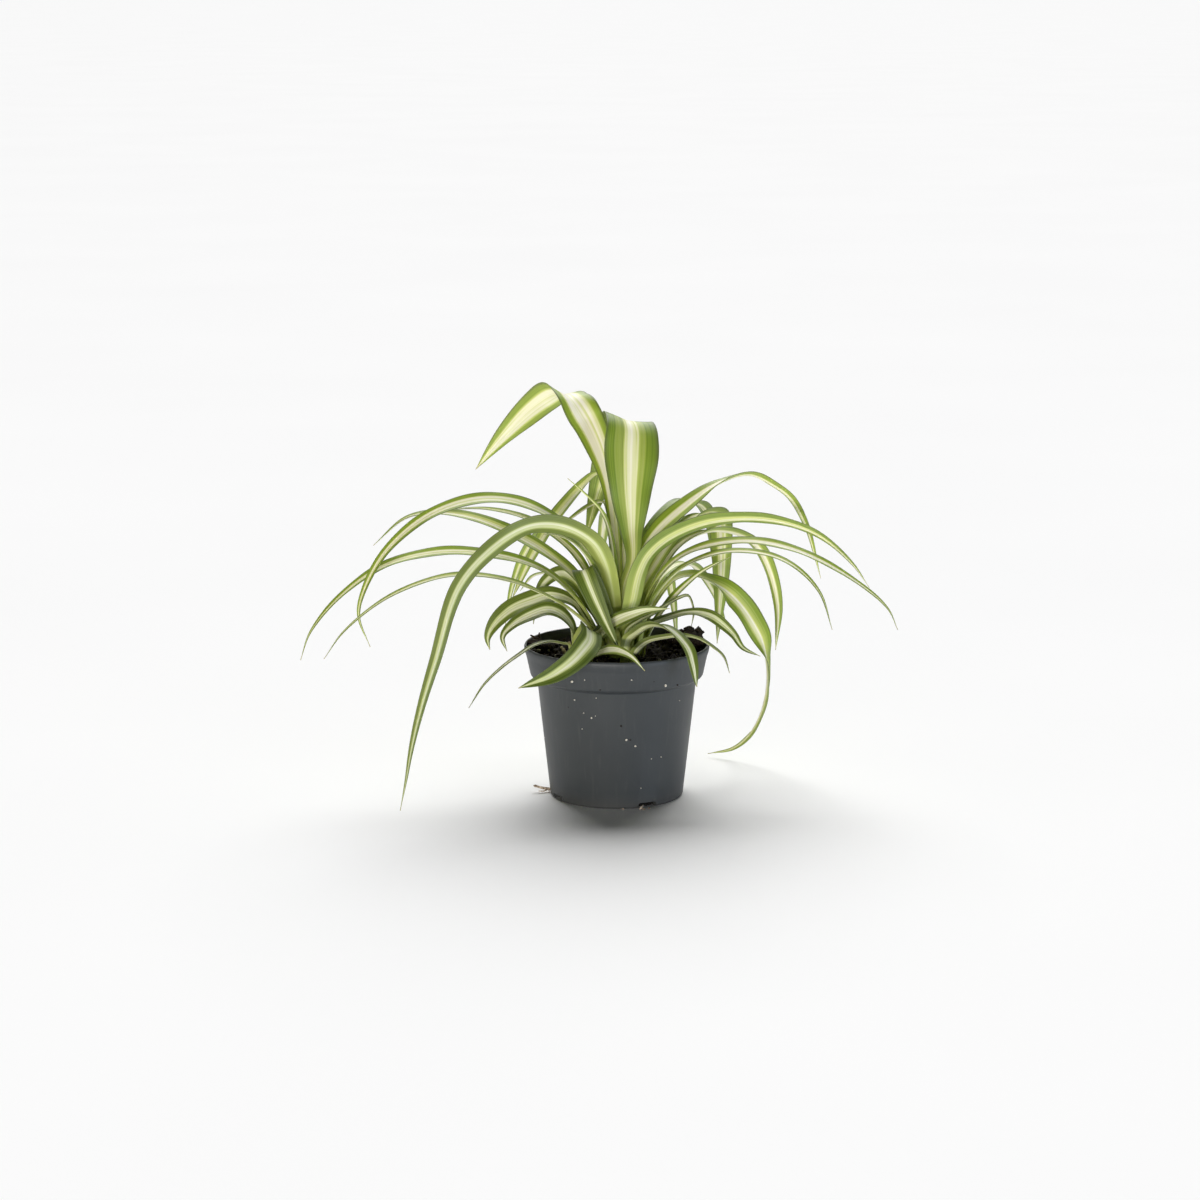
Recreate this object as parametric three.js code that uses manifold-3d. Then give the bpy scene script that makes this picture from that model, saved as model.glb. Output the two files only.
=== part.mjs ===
// A spider plant in a round plastic grower's pot.
// Millimetres, +Z up. The origin is the middle of the pot's foot, +X is to the right
// and +Y is to the back of the plant's best side.

import * as THREE from "three";
import { mergeVertices } from "three/addons/utils/BufferGeometryUtils.js";
import Module from "manifold-3d";

// ---------------------------------------------------------------- driving sizes

const POT = {
  rimRadius: 52.5,      // a 10.5 cm pot
  height: 87,
  baseRadius: 37.8,
  shoulderRadius: 45.2, // top of the plain wall, under the rim band
  shoulderHeight: 67.8,
  bandRadius: 49,       // lower edge of the rim band
  bandHeight: 70.4,
  wall: 1.3,
  lip: 6,               // depth of the flared lip at the top of the band
  lipFlare: 1.2,
  sides: 52,
};

const FOOT = {
  discRadius: 20,       // the flat middle of the base
  channelInner: 22.5,   // a raised channel, with the drain holes, runs round it
  channelOuter: 32,
  channelRise: 3,
  ringInner: 34,        // the outer ring that the pot also rests on
  bevel: 0.9,
  holeRadius: 3.2,
  holeCircle: 27.2,
  holes: 4,
  archReach: 9,         // a notch cut in from the edge, twice its depth
  archWidth: 11,
  archHeight: 3.1,
  firstArch: -63,       // degrees
};

const SOIL = {
  level: 79.5,
  floor: 5.2,
  gap: 0.85,            // to the pot's wall, all round
  holeGap: 0.5,         // round each crown
  rings: 11,
  sides: 44,
  relief: 1.2,
  rimRise: 1.2,
};

// Lumps of soil heaped against the wall: where, how high and how wide.
const HEAPS = [
  { x: 33, y: 22, height: 5, spread: 130 },
  { x: -43, y: 4, height: 4.5, spread: 60 },
];

const LEAF = {
  thick: 0.8,           // at the midrib
  edgeThick: 0.64,
  baseWidth: 6.4,       // the sheath round the crown
  baseLength: 26,       // how far up the sheath keeps its curl
  sheath: [7, 14],      // heights of the sheath's points above its foot
  tipWidth: 1.3,
  fold: 18,             // degrees that each half rises from the midrib
  mostCurl: 80,         // degrees that half of a sheath wraps round its crown
  step: 9,              // mm between cross-sections
  fewest: 10,
  most: 24,
};

const CROWN = {
  innerRing: 2.5,       // radius of the innermost sheath
  ringStep: 1.32,
  sink: 7,              // depth of its foot below the soil
  collar: 2,            // height of its side
  coneRise: 3.4,
  core: 1.5,            // the young shoot in the middle
  coreHeight: 16,
  margin: 0.8,
  sides: 20,
};

// Each plant in the pot has its place and its number of rings of leaf bases.
const ROSETTES = {
  main: { x: 4, y: 6, rings: 9 },
  left: { x: -20, y: -11, rings: 4 },
  right: { x: 3, y: -18, rings: 4 },
};

// One row for each leaf. The ring counts outwards from the middle of the crown. The heading
// is in degrees, 0 to the right and 90 to the back, and root is the sheath's own heading.
// The route lists points of the midrib beyond the sheath: [out, up] or [out, up, side],
// with side to the left of the heading.
// Roll turns the blade round its midrib, in even stages from base to tip. The blade widens
// between the shares of its length called neck and swell, then tapers.
const LEAVES = {
  main: [
    { name: "leaf_broad_back", ring: 0, heading: 92, width: 33, neck: 0.2, swell: 0.54, taper: 1.25,
      fold: 10, roll: [0, 0, -10, -30, -18],
      route: [[2, 118], [4, 133, -5], [8, 151, -4.5], [13, 172, -4], [20, 192, -4.5], [28, 204, -5],
        [38, 208, -3], [48, 201, 1], [55, 186, 6], [60, 162, 13], [64, 134, 20]] },
    { name: "leaf_tall_back_left", ring: 1, heading: 130, width: 24, neck: 0.28, swell: 0.7, taper: 1.5,
      roll: [0, 10, 22, 32, 37, 38, 40, 32, -8, -38, -42, -42, -42],
      route: [[6, 118, 0], [9.9, 132, -3.1], [15.1, 154, -5.1], [21.6, 177, -7], [29, 193, -6.7],
        [36.3, 206, -5], [42.8, 215.5, -2.6], [49.2, 220.5, -2.1], [56, 222, -3.3], [63, 221, -2.6],
        [70.3, 217, -0.2], [79.8, 209, 4.9], [90.6, 197, 11.5], [99.7, 186, 16.9],
        [107.4, 175, 22.2]] },
    { name: "leaf_upright_left", ring: 1, heading: 195, root: 230, width: 6.4, swell: 0.25, taper: 1.6,
      route: [[5, 118], [8, 148], [13, 162], [23, 173, 1], [33, 182, 1]] },
    { name: "leaf_thin_arch_right", ring: 2, heading: 26, width: 13, swell: 0.3, taper: 2,
      roll: [0, 0, -34, 10, 16, 20],
      route: [[8, 116, 1], [13.5, 135, 3], [23, 146, 5.5], [40, 159, 6], [65, 173, 5], [83, 176, 5],
        [98, 169, 4], [110, 160, 4], [120, 143, 3], [127, 122, 3], [130, 112, 3]] },
    { name: "leaf_back_left_long", ring: 2, heading: 115, root: 104, width: 10, neck: 0.3, swell: 0.6,
      taper: 2.6, roll: [0, 0, -40, -75, -90],
      route: [[10, 118, -4], [17, 142, -8], [25, 163, -10], [33, 176, -8], [39, 178, -3], [46, 171, 3],
        [58, 152, 15], [69, 127, 26], [79, 100, 35]] },
    { name: "leaf_front_left_arch", ring: 2, heading: 224, root: 230, width: 13, swell: 0.25,
      taper: 1.6, roll: [0, -15, -32, -60, -88, -98, -102, -104, -106],
      route: [[11, 116, 1.6], [20, 136, 4], [31, 149, 5], [50, 159, 2], [70, 161, -2], [91, 153, -6],
        [116, 133, -9], [135, 94, -8], [146, 71, -7], [155, 50, -5], [161, 33, -3], [166, 18, -2]] },
    { name: "leaf_dome_back", ring: 3, heading: 72, width: 15, swell: 0.4, taper: 2, roll: [0, 16, 30],
      route: [[13, 116, -0.3], [22.5, 138, -7], [36, 150, -12], [52, 157, -16], [68, 157, -19],
        [83, 152, -22], [96, 141, -23], [106, 125, -22], [112, 107, -21]] },
    { name: "leaf_big_arch_right", ring: 3, heading: 6, root: 294, width: 12, swell: 0.2, taper: 1.8,
      roll: [0, 0, -14, -24, -28, -30],
      route: [[2.5, 106, -10.8], [4.5, 114, -10.8], [6, 121, -9.6], [8.5, 129, -8], [13, 137, -6],
        [22, 145, -4], [37, 152, -2], [55, 156, -1], [85, 155], [111, 146], [131, 129], [141, 115]] },
    { name: "leaf_thin_back_left", ring: 3, heading: 120, root: 133, width: 8, swell: 0.5, taper: 2,
      roll: [0, -10, -30],
      route: [[11, 118, -1], [20, 138, -4], [27, 154, -6], [32, 162, -5], [39, 159], [48, 150, 9],
        [55, 142, 16]] },
    { name: "leaf_long_arch_left", ring: 4, heading: 192, root: 185, width: 11, swell: 0.3, taper: 2.2,
      roll: [0, 22, 30],
      route: [[12.5, 117, -1.5], [18, 136, -3], [34, 154, -3], [59, 168, -2], [84, 171], [111, 163],
        [135, 144], [148, 122], [151, 108], [145, 90]] },
    { name: "leaf_droop_right", ring: 4, heading: 50, width: 16, swell: 0.45, taper: 2.2,
      roll: [0, 10, 35, 40],
      route: [[15, 113], [24, 128, -4], [39, 143, -6], [55, 151, -6], [70, 152, -6], [81, 147, -5],
        [86, 128, -3], [87, 107, -2], [87, 91, -1], [85, 72, -1]] },
    { name: "leaf_long_right", ring: 4, heading: -8, width: 10, swell: 0.3, taper: 2.2,
      roll: [0, -18, -20],
      route: [[15, 115], [27, 132], [42, 141], [70, 146], [99, 141], [129, 126], [149, 110],
        [155, 98]] },
    { name: "leaf_back", ring: 4, heading: 96, root: 103, width: 12, swell: 0.3, taper: 2,
      roll: [0, -10, 10],
      route: [[15, 111], [30, 134], [56, 145], [92, 143], [120, 120], [134, 90]] },
    { name: "leaf_left_short", ring: 5, heading: 167, width: 9, swell: 0.3, taper: 1.8,
      roll: [0, 16, 16],
      route: [[15.5, 111], [22.5, 127], [33, 140], [56, 155], [80, 160], [105, 159]] },
    { name: "leaf_under_front_left", ring: 5, heading: 206, root: 214, width: 13, swell: 0.35, taper: 2,
      roll: [0, 14, 24],
      route: [[14, 109, 2], [18, 123, 3], [24, 137, 3], [33, 147, 3], [43, 152, 2], [51, 153, 2]] },
    { name: "leaf_back_left", ring: 5, heading: 121, width: 11, swell: 0.3, taper: 2,
      route: [[16, 106], [38, 132], [70, 142], [104, 128], [128, 98], [138, 70]] },
    { name: "leaf_mid_droop_right", ring: 5, heading: 30, width: 13, swell: 0.4, taper: 2.2,
      roll: [0, 0, 20, 55],
      route: [[16, 110], [34, 135, 2], [56, 144, 4], [75, 142, 3], [89, 134, 1], [99, 118, 1],
        [105, 96, 1], [105, 70, 3]] },
    { name: "leaf_thin_right", ring: 5, heading: -17, root: -20, width: 8, swell: 0.3, taper: 2,
      roll: [0, -18, -20],
      route: [[16, 109], [34, 131], [64, 142], [94, 138], [113, 122], [121, 101]] },
    { name: "leaf_back_right", ring: 5, heading: 76, width: 11, swell: 0.3, taper: 2,
      route: [[17, 104], [42, 126], [76, 130], [108, 112], [130, 80], [140, 52]] },
    { name: "leaf_under_arch_left", ring: 6, heading: 175, width: 13, swell: 0.35, taper: 2,
      roll: [0, 22, 8],
      route: [[17, 106], [27, 122], [43, 136], [58, 145], [84, 156], [106, 159], [124, 156],
        [143, 140]] },
    { name: "leaf_big_droop_right", ring: 6, heading: 14, width: 15.5, swell: 0.4, taper: 1.3,
      roll: [0, -4, -8, -18, -72, -92, -40, -36, -36, -20, 10],
      route: [[18.5, 107.5, 0.6], [31, 120.5, 3], [43, 122, 4], [54, 117, 5], [63, 111, 6],
        [71, 103, 6], [79, 92, 8], [84, 83, 9], [88, 71, 12], [91, 55, 18], [91, 34, 29], [87, 18, 40],
        [80, 7, 52], [68, 1.9, 63]] },
    { name: "leaf_low_back_left", ring: 7, heading: 142, root: 146, width: 10, swell: 0.3, taper: 2,
      route: [[20.5, 99], [37, 114], [52, 120], [66, 117], [76, 107]] },
    { name: "leaf_low_back", ring: 6, heading: 58, width: 11, swell: 0.3, taper: 2,
      route: [[19, 100], [42, 118], [72, 120], [100, 100], [120, 70]] },
    { name: "leaf_mid_arch_left", ring: 7, heading: 186, width: 10, swell: 0.3, taper: 2.2,
      roll: [0, 24, 26],
      route: [[21, 103], [30, 115], [45, 128], [70, 137], [104, 140], [135, 133], [160, 116], [177, 96],
        [183, 80]] },
    { name: "leaf_level_right", ring: 7, heading: -2, width: 10, swell: 0.3, taper: 1.8,
      roll: [0, -16, -22],
      route: [[20, 101], [30, 114], [44, 127], [60, 136]] },
    { name: "leaf_hang_left", ring: 6, heading: 160, root: 136, width: 11, neck: 0.2, swell: 0.5,
      taper: 2, roll: [0, 24, 45],
      route: [[20, 106, -1], [28.5, 119.5, -0.5], [39, 123, -1], [48, 117], [53, 105], [55, 93]] },
    { name: "leaf_low_left", ring: 8, heading: 199, root: 204, width: 7, swell: 0.25, taper: 1.8,
      roll: [0, 22, 18],
      route: [[21, 97], [36, 110], [68, 126], [102, 131], [136, 122], [163, 104], [175, 89]] },
    { name: "leaf_hoop_left", ring: 8, heading: 179, root: 167, width: 14, neck: 0.25, swell: 0.6,
      taper: 2.2, roll: [0, 24, 40],
      route: [[22, 99, -1.6], [29, 109, -1], [41, 113], [52, 110], [64, 105, 1], [73, 97, 2],
        [77, 89, 2], [76, 82, 2]] },
    { name: "leaf_folded_front", ring: 8, heading: 252, width: 13, swell: 0.45, taper: 2.6,
      route: [[18, 98, -3], [22, 114, -8], [25, 127, -13], [28, 132, -15], [31, 128, -12],
        [33, 114, -5], [34, 101, 2], [36, 90, 9]] },
  ],
  left: [
    { name: "small_leaf_left_curl", ring: 1, heading: 186, root: 182, width: 13, swell: 0.4, taper: 2,
      roll: [0, 25, 35],
      route: [[6, 99], [12, 106], [19, 108.5], [28, 106], [38, 101], [44, 94], [42, 86, 2]] },
    { name: "small_leaf_thin_over_rim", ring: 3, heading: 205, width: 4.5, swell: 0.3, taper: 1.8,
      route: [[10, 90], [19, 92], [30, 91, 2], [39, 87, 3], [50, 81, 4], [62, 72, 5], [71, 60, 5]] },
    { name: "small_leaf_over_rim", ring: 2, heading: 250, root: 254, width: 16, swell: 0.45, taper: 2.2,
      roll: [0, 0, 25, 10],
      route: [[11, 99, 8], [20, 101, 12], [29, 98, 15], [39, 95, 15], [48, 91, 13], [55, 87, 9],
        [62, 83, 3], [72, 78, -10]] },
    { name: "small_leaf_front_pale", ring: 3, heading: 318, root: 331, width: 8, swell: 0.4, taper: 1.8,
      roll: [0, -12, -25],
      route: [[13, 85.5, -4.6], [20, 87.5, -7], [29, 91, -10], [39, 92.5, -12], [50, 90.5, -13],
        [58, 84, -12]] },
    { name: "small_leaf_low_front", ring: 2, heading: 348, root: 20, width: 10, swell: 0.45, taper: 1.8,
      roll: [0, -15, -45],
      route: [[12, 96, -2], [17, 101, -5], [23, 105, -7], [31, 109, -9], [40, 112, -9],
        [52, 113, -8]] },
  ],
  right: [
    { name: "small_leaf_right_over_rim", ring: 2, heading: 326, root: 294, width: 12, swell: 0.45,
      taper: 3.6, roll: [0, -20, -35, -55],
      route: [[6, 94, -2], [11, 98, -2], [17, 102, -2], [24, 104, -2], [31, 103, -2], [38, 99, -2],
        [45, 93, -3], [49, 85, -4], [52, 73, -4]] },
    { name: "small_leaf_right_low", ring: 3, heading: 338, width: 9, swell: 0.4, taper: 1.8,
      roll: [0, -20, -35],
      route: [[7, 84, -1], [11, 89, -2], [16, 93, -1], [25, 96, -1], [38, 98], [46, 97], [54, 93],
        [60, 88, 1], [64, 79]] },
    { name: "small_leaf_right_reach", ring: 1, heading: 4, root: 22, width: 10, swell: 0.4, taper: 1.8,
      roll: [0, -5, -10, -60, -60],
      route: [[6, 95, 2], [10, 98, 4], [19, 101, 5], [28, 104, 5], [36, 106, 5], [44, 106, 5],
        [51, 104, 4], [58, 99, 4], [63, 94, 3], [68, 87, 1], [78, 82, 1]] },
    { name: "small_leaf_right_hoop", ring: 0, heading: 26, root: 29, width: 7, swell: 0.3, taper: 1.8,
      roll: [0, -10, -10],
      route: [[4, 97, 2], [12, 102, 2], [19, 105, 1], [24, 108], [30, 111], [35, 114, -2],
        [40, 115, -3], [42, 111, -4], [43, 105, -4], [42, 97, -3]] },
  ],
};

// ---------------------------------------------------------------- colours

const PLASTIC = new THREE.MeshStandardMaterial({ color: "#474d51", roughness: 0.5, metalness: 0 });
const PEAT = new THREE.MeshStandardMaterial({ color: "#241c17", roughness: 0.95, metalness: 0 });
const CROWN_PALE = new THREE.MeshStandardMaterial({ color: "#cdd39a", roughness: 0.6, metalness: 0 });
const BLADE = {
  main: new THREE.MeshStandardMaterial({ color: "#8cab3a", roughness: 0.45, metalness: 0 }),
  left: new THREE.MeshStandardMaterial({ color: "#66802b", roughness: 0.45, metalness: 0 }),
  right: new THREE.MeshStandardMaterial({ color: "#6f8a30", roughness: 0.45, metalness: 0 }),
};

// ---------------------------------------------------------------- helpers

const wasm = await Module();
wasm.setup();

const radians = THREE.MathUtils.degToRad;
const smooth = (value) => THREE.MathUtils.smoothstep(value, 0, 1);
const ringRadius = (ring) => CROWN.innerRing + CROWN.ringStep * ring;
const crownRadius = (rosette) => ringRadius(rosette.rings - 1) + CROWN.margin;

function toSolid(geometry) {
  const bare = geometry.clone();
  bare.deleteAttribute("normal");
  bare.deleteAttribute("uv");
  const merged = mergeVertices(bare, 1e-4);
  return new wasm.Manifold(new wasm.Mesh({
    numProp: 3,
    vertProperties: new Float32Array(merged.attributes.position.array),
    triVerts: new Uint32Array(merged.index.array),
  }));
}

function toGeometry(solid) {
  const mesh = solid.getMesh();
  const geometry = new THREE.BufferGeometry();
  geometry.setAttribute("position", new THREE.BufferAttribute(mesh.vertProperties, 3));
  geometry.setIndex(new THREE.BufferAttribute(mesh.triVerts, 1));
  geometry.computeVertexNormals();
  return geometry;
}

// A closed profile of [radius, height] points turned round the upright axis.
function turned(profile, sides) {
  const geometry = new THREE.LatheGeometry(profile.map(([r, z]) => new THREE.Vector2(r, z)), sides);
  return geometry.rotateX(Math.PI / 2);
}

function upright(radius, low, high, sides) {
  return new THREE.CylinderGeometry(radius, radius, high - low, sides)
    .rotateX(Math.PI / 2)
    .translate(0, 0, (low + high) / 2);
}

// ---------------------------------------------------------------- pot

function innerRadiusAt(z) {
  const [fromRadius, fromHeight, toRadius, toHeight] = z < POT.bandHeight
    ? [POT.baseRadius, 0, POT.shoulderRadius, POT.shoulderHeight]
    : [POT.bandRadius, POT.bandHeight, POT.rimRadius - POT.lipFlare, POT.height - POT.lip];
  const share = (z - fromHeight) / (toHeight - fromHeight);
  return fromRadius + (toRadius - fromRadius) * share - POT.wall;
}

function makePot() {
  const { rimRadius, height, baseRadius, shoulderRadius, shoulderHeight, wall } = POT;
  const { bandRadius, bandHeight } = POT;
  const floorTop = FOOT.channelRise + wall;
  const lipLow = height - POT.lip;
  const insideBand = bandHeight + wall / 2;
  const underside = [
    [0, 0], [FOOT.discRadius, 0], [FOOT.channelInner, FOOT.channelRise],
    [FOOT.channelOuter, FOOT.channelRise], [FOOT.ringInner, 0],
    [baseRadius - FOOT.bevel, 0], [baseRadius, FOOT.bevel],
  ];
  const outside = [
    [shoulderRadius, shoulderHeight], [bandRadius - 0.5, bandHeight - 0.9], [bandRadius, bandHeight],
    [rimRadius - POT.lipFlare, lipLow], [rimRadius - 0.2, lipLow + 3], [rimRadius, height - 1.2],
    [rimRadius - 0.5, height],
  ];
  const inside = [
    [rimRadius - wall - 0.2, height - 0.1], [rimRadius - wall - 0.6, lipLow + 3],
    [innerRadiusAt(lipLow), lipLow], [innerRadiusAt(insideBand), insideBand],
    [shoulderRadius - wall, shoulderHeight + 0.5], [innerRadiusAt(floorTop + 1.5), floorTop + 1.5],
    [innerRadiusAt(floorTop) - 1.6, floorTop], [FOOT.channelInner - 1, floorTop],
    [FOOT.discRadius - 1, wall], [0, wall],
  ];
  const profile = [...underside, ...outside, ...inside];
  let solid = toSolid(turned(profile, POT.sides));
  for (let i = 0; i < FOOT.holes; i += 1) {
    const angle = radians(FOOT.firstArch + (360 / FOOT.holes) * i);
    const arch = new THREE.BoxGeometry(FOOT.archReach, FOOT.archWidth, 2 * FOOT.archHeight)
      .translate(baseRadius, 0, 0).rotateZ(angle);
    const between = angle + Math.PI / FOOT.holes;
    const hole = upright(FOOT.holeRadius, -2, floorTop + 2, 12)
      .translate(FOOT.holeCircle * Math.cos(between), FOOT.holeCircle * Math.sin(between), 0);
    solid = solid.subtract(toSolid(arch)).subtract(toSolid(hole));
  }
  return toGeometry(solid);
}

// ---------------------------------------------------------------- soil

// Lumps of the soil's top: a few waves of different lengths, and higher at the rim.
function soilHeight(x, y) {
  const lumps = Math.sin(x * 0.31 + 1.3) * Math.sin(y * 0.27 - 0.4)
    + 0.6 * Math.sin(x * 0.83 - y * 0.61) + 0.5 * Math.sin(x * 0.47 + y * 0.93 + 2.1);
  const edge = smooth((Math.hypot(x, y) - 30) / 18);
  const heaped = HEAPS.map((heap) => (
    heap.height * Math.exp(-((x - heap.x) ** 2 + (y - heap.y) ** 2) / heap.spread)
  ));
  return SOIL.level + SOIL.relief * lumps + SOIL.rimRise * edge + heaped[0] + heaped[1];
}

function makeSoil() {
  const positions = [0, 0, soilHeight(0, 0)];
  const faces = [];
  const topRadius = innerRadiusAt(SOIL.level + SOIL.rimRise) - SOIL.gap;
  const rows = [];
  for (let ring = 1; ring <= SOIL.rings; ring += 1) {
    rows.push({ radius: topRadius * (ring / SOIL.rings) ** 0.9, height: null });
  }
  const inBand = POT.bandHeight + POT.wall;
  const corner = SOIL.floor + 2;
  rows.push({ radius: innerRadiusAt(inBand) - SOIL.gap, height: inBand });
  rows.push({ radius: innerRadiusAt(POT.shoulderHeight) - SOIL.gap, height: POT.shoulderHeight });
  rows.push({ radius: innerRadiusAt(corner) - SOIL.gap, height: corner });
  rows.push({ radius: innerRadiusAt(SOIL.floor) - 2.5, height: SOIL.floor });
  for (const row of rows) {
    for (let side = 0; side < SOIL.sides; side += 1) {
      const angle = (2 * Math.PI * side) / SOIL.sides;
      const x = row.radius * Math.cos(angle);
      const y = row.radius * Math.sin(angle);
      positions.push(x, y, row.height ?? soilHeight(x, y));
    }
  }
  const at = (row, side) => 1 + row * SOIL.sides + (side % SOIL.sides);
  for (let side = 0; side < SOIL.sides; side += 1) {
    faces.push(0, at(0, side), at(0, side + 1));
    for (let row = 0; row + 1 < rows.length; row += 1) {
      faces.push(at(row, side), at(row + 1, side), at(row + 1, side + 1));
      faces.push(at(row, side), at(row + 1, side + 1), at(row, side + 1));
    }
  }
  const bottom = positions.length / 3;
  positions.push(0, 0, SOIL.floor);
  for (let side = 0; side < SOIL.sides; side += 1) {
    faces.push(bottom, at(rows.length - 1, side + 1), at(rows.length - 1, side));
  }
  const geometry = new THREE.BufferGeometry();
  geometry.setAttribute("position", new THREE.Float32BufferAttribute(positions, 3));
  geometry.setIndex(faces);
  let solid = toSolid(geometry);
  for (const rosette of Object.values(ROSETTES)) {
    const foot = SOIL.level - CROWN.sink - SOIL.holeGap;
    const hole = upright(crownRadius(rosette) + SOIL.holeGap, foot, SOIL.level + 20, CROWN.sides)
      .translate(rosette.x, rosette.y, 0);
    solid = solid.subtract(toSolid(hole));
  }
  return toGeometry(solid);
}

// ---------------------------------------------------------------- crowns

// The cone that the leaf bases stand on: highest at its middle.
function crownTop(rosette, radius) {
  const rise = CROWN.coneRise * (1 - radius / crownRadius(rosette));
  return SOIL.level - CROWN.sink + CROWN.collar + rise;
}

function makeCrown(rosette) {
  const radius = crownRadius(rosette);
  const low = SOIL.level - CROWN.sink;
  const profile = [
    [0, low], [radius - 0.6, low], [radius, low + 0.6], [radius, crownTop(rosette, radius)],
    [CROWN.core, crownTop(rosette, CROWN.core)], [CROWN.core * 0.6, low + CROWN.coreHeight],
    [0, low + CROWN.coreHeight + 0.6],
  ];
  return toGeometry(toSolid(turned(profile, CROWN.sides)));
}

// ---------------------------------------------------------------- leaves

// Roll in degrees at a share of the leaf's length, from its list of stages.
function rollAt(stages, share) {
  if (!stages) return 0;
  const place = share * (stages.length - 1);
  const index = Math.min(Math.floor(place), stages.length - 2);
  return THREE.MathUtils.lerp(stages[index], stages[index + 1], smooth(place - index));
}

function widthAt(leaf, share) {
  const base = Math.min(LEAF.baseWidth, leaf.width * 0.9);
  const neck = leaf.neck ?? 0;
  const rise = base + (leaf.width - base) * smooth((share - neck) / (leaf.swell - neck));
  const beyond = Math.max(0, (share - leaf.swell) / (1 - leaf.swell));
  return Math.max(LEAF.tipWidth, rise * (1 - beyond ** leaf.taper));
}

function midrib(rosette, leaf) {
  const radius = ringRadius(leaf.ring);
  const low = crownTop(rosette, radius) + LEAF.thick;
  const towards = (degrees) => (
    new THREE.Vector3(Math.cos(radians(degrees)), Math.sin(radians(degrees)), 0)
  );
  const place = (degrees) => ([out, up, side = 0]) => new THREE.Vector3(rosette.x, rosette.y, up)
    .addScaledVector(towards(degrees), out).addScaledVector(towards(degrees + 90), side);
  const root = leaf.root ?? leaf.heading;
  const [middle, high] = LEAF.sheath;
  const lean = 0.9 + 0.2 * leaf.ring;
  const sheath = [[radius, low], [radius + 0.3, low + middle], [radius + lean, low + high]];
  const points = [...sheath.map(place(root)), ...leaf.route.map(place(leaf.heading))];
  const curve = new THREE.CatmullRomCurve3(points, false, "centripetal");
  return { curve, side: towards(root + 90), radius };
}

const mixed = (first, a, second, b) => first.clone().multiplyScalar(a).addScaledVector(second, b);

// A folded blade: each cross-section has a midrib and two edges, on both faces.
function makeLeaf(rosette, leaf) {
  const { curve, side, radius } = midrib(rosette, leaf);
  const length = curve.getLength();
  const count = THREE.MathUtils.clamp(Math.round(length / LEAF.step), LEAF.fewest, LEAF.most);
  const across = side.clone().negate();
  const positions = [];
  const push = (point, normal, amount) => {
    positions.push(...point.clone().addScaledVector(normal, amount).toArray());
  };
  for (let i = 0; i <= count; i += 1) {
    const share = i / count;
    const point = curve.getPointAt(share);
    const along = curve.getTangentAt(share);
    across.addScaledVector(along, -across.dot(along)).normalize();
    const face = across.clone().cross(along).normalize();
    const roll = radians(rollAt(leaf.roll, share));
    const right = mixed(across, Math.cos(roll), face, Math.sin(roll));
    const up = mixed(face, Math.cos(roll), across, -Math.sin(roll));
    const half = widthAt(leaf, share) / 2;
    const curl = Math.min(half / radius, radians(LEAF.mostCurl)) / 2;
    const open = smooth((share * length) / LEAF.baseLength);
    const fold = THREE.MathUtils.lerp(curl, radians(leaf.fold ?? LEAF.fold), open);
    const reach = half * Math.cos(fold);
    const lift = half * Math.sin(fold);
    const edges = [-1, 0, 1].map((hand) => ({
      at: point.clone().add(mixed(right, hand * reach, up, Math.abs(hand) * lift)),
      normal: mixed(up, hand ? Math.cos(fold) : 1, right, -hand * Math.sin(fold)),
      thick: hand ? LEAF.edgeThick : LEAF.thick,
    }));
    for (const edge of edges) push(edge.at, edge.normal, edge.thick / 2);
    for (const edge of edges) push(edge.at, edge.normal, -edge.thick / 2);
  }
  const ring = [0, 1, 2, 5, 4, 3];
  const faces = [];
  for (let i = 0; i < count; i += 1) {
    for (let j = 0; j < 6; j += 1) {
      const a = i * 6 + ring[j];
      const b = i * 6 + ring[(j + 1) % 6];
      const c = b + 6;
      const d = a + 6;
      // The faces above and below are split alike, corner for corner.
      if (j < 3) faces.push(a, b, c, a, c, d);
      else faces.push(a, b, d, b, c, d);
    }
  }
  const cap = (start, flip) => {
    for (const [a, b, c] of [[0, 3, 4], [0, 4, 1], [1, 4, 5], [1, 5, 2]]) {
      faces.push(start + a, start + (flip ? c : b), start + (flip ? b : c));
    }
  };
  cap(0, false);
  cap(count * 6, true);
  const geometry = new THREE.BufferGeometry();
  geometry.setAttribute("position", new THREE.Float32BufferAttribute(positions, 3));
  geometry.setIndex(faces);
  return geometry;
}

// ---------------------------------------------------------------- the whole plant

function named(name, geometry, material) {
  const mesh = new THREE.Mesh(geometry, material);
  mesh.name = name;
  return mesh;
}

const plant = new THREE.Group();
plant.name = "potted_spider_plant";
plant.add(named("pot", makePot(), PLASTIC));
plant.add(named("soil", makeSoil(), PEAT));
for (const [key, rosette] of Object.entries(ROSETTES)) {
  const crown = named(`crown_${key}`, makeCrown(rosette), CROWN_PALE);
  crown.position.set(rosette.x, rosette.y, 0);
  plant.add(crown);
  for (const leaf of LEAVES[key]) {
    plant.add(named(leaf.name, makeLeaf(rosette, leaf), BLADE[key]));
  }
}

export default plant;
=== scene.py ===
"""A spider plant in a plastic grower's pot, built piece by piece by Blender operators."""

import math
import random
from functools import partial

import bmesh
import bpy
import numpy as np
from bpy.props import FloatProperty, FloatVectorProperty, IntProperty, PointerProperty
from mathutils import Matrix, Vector, noise


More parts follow.
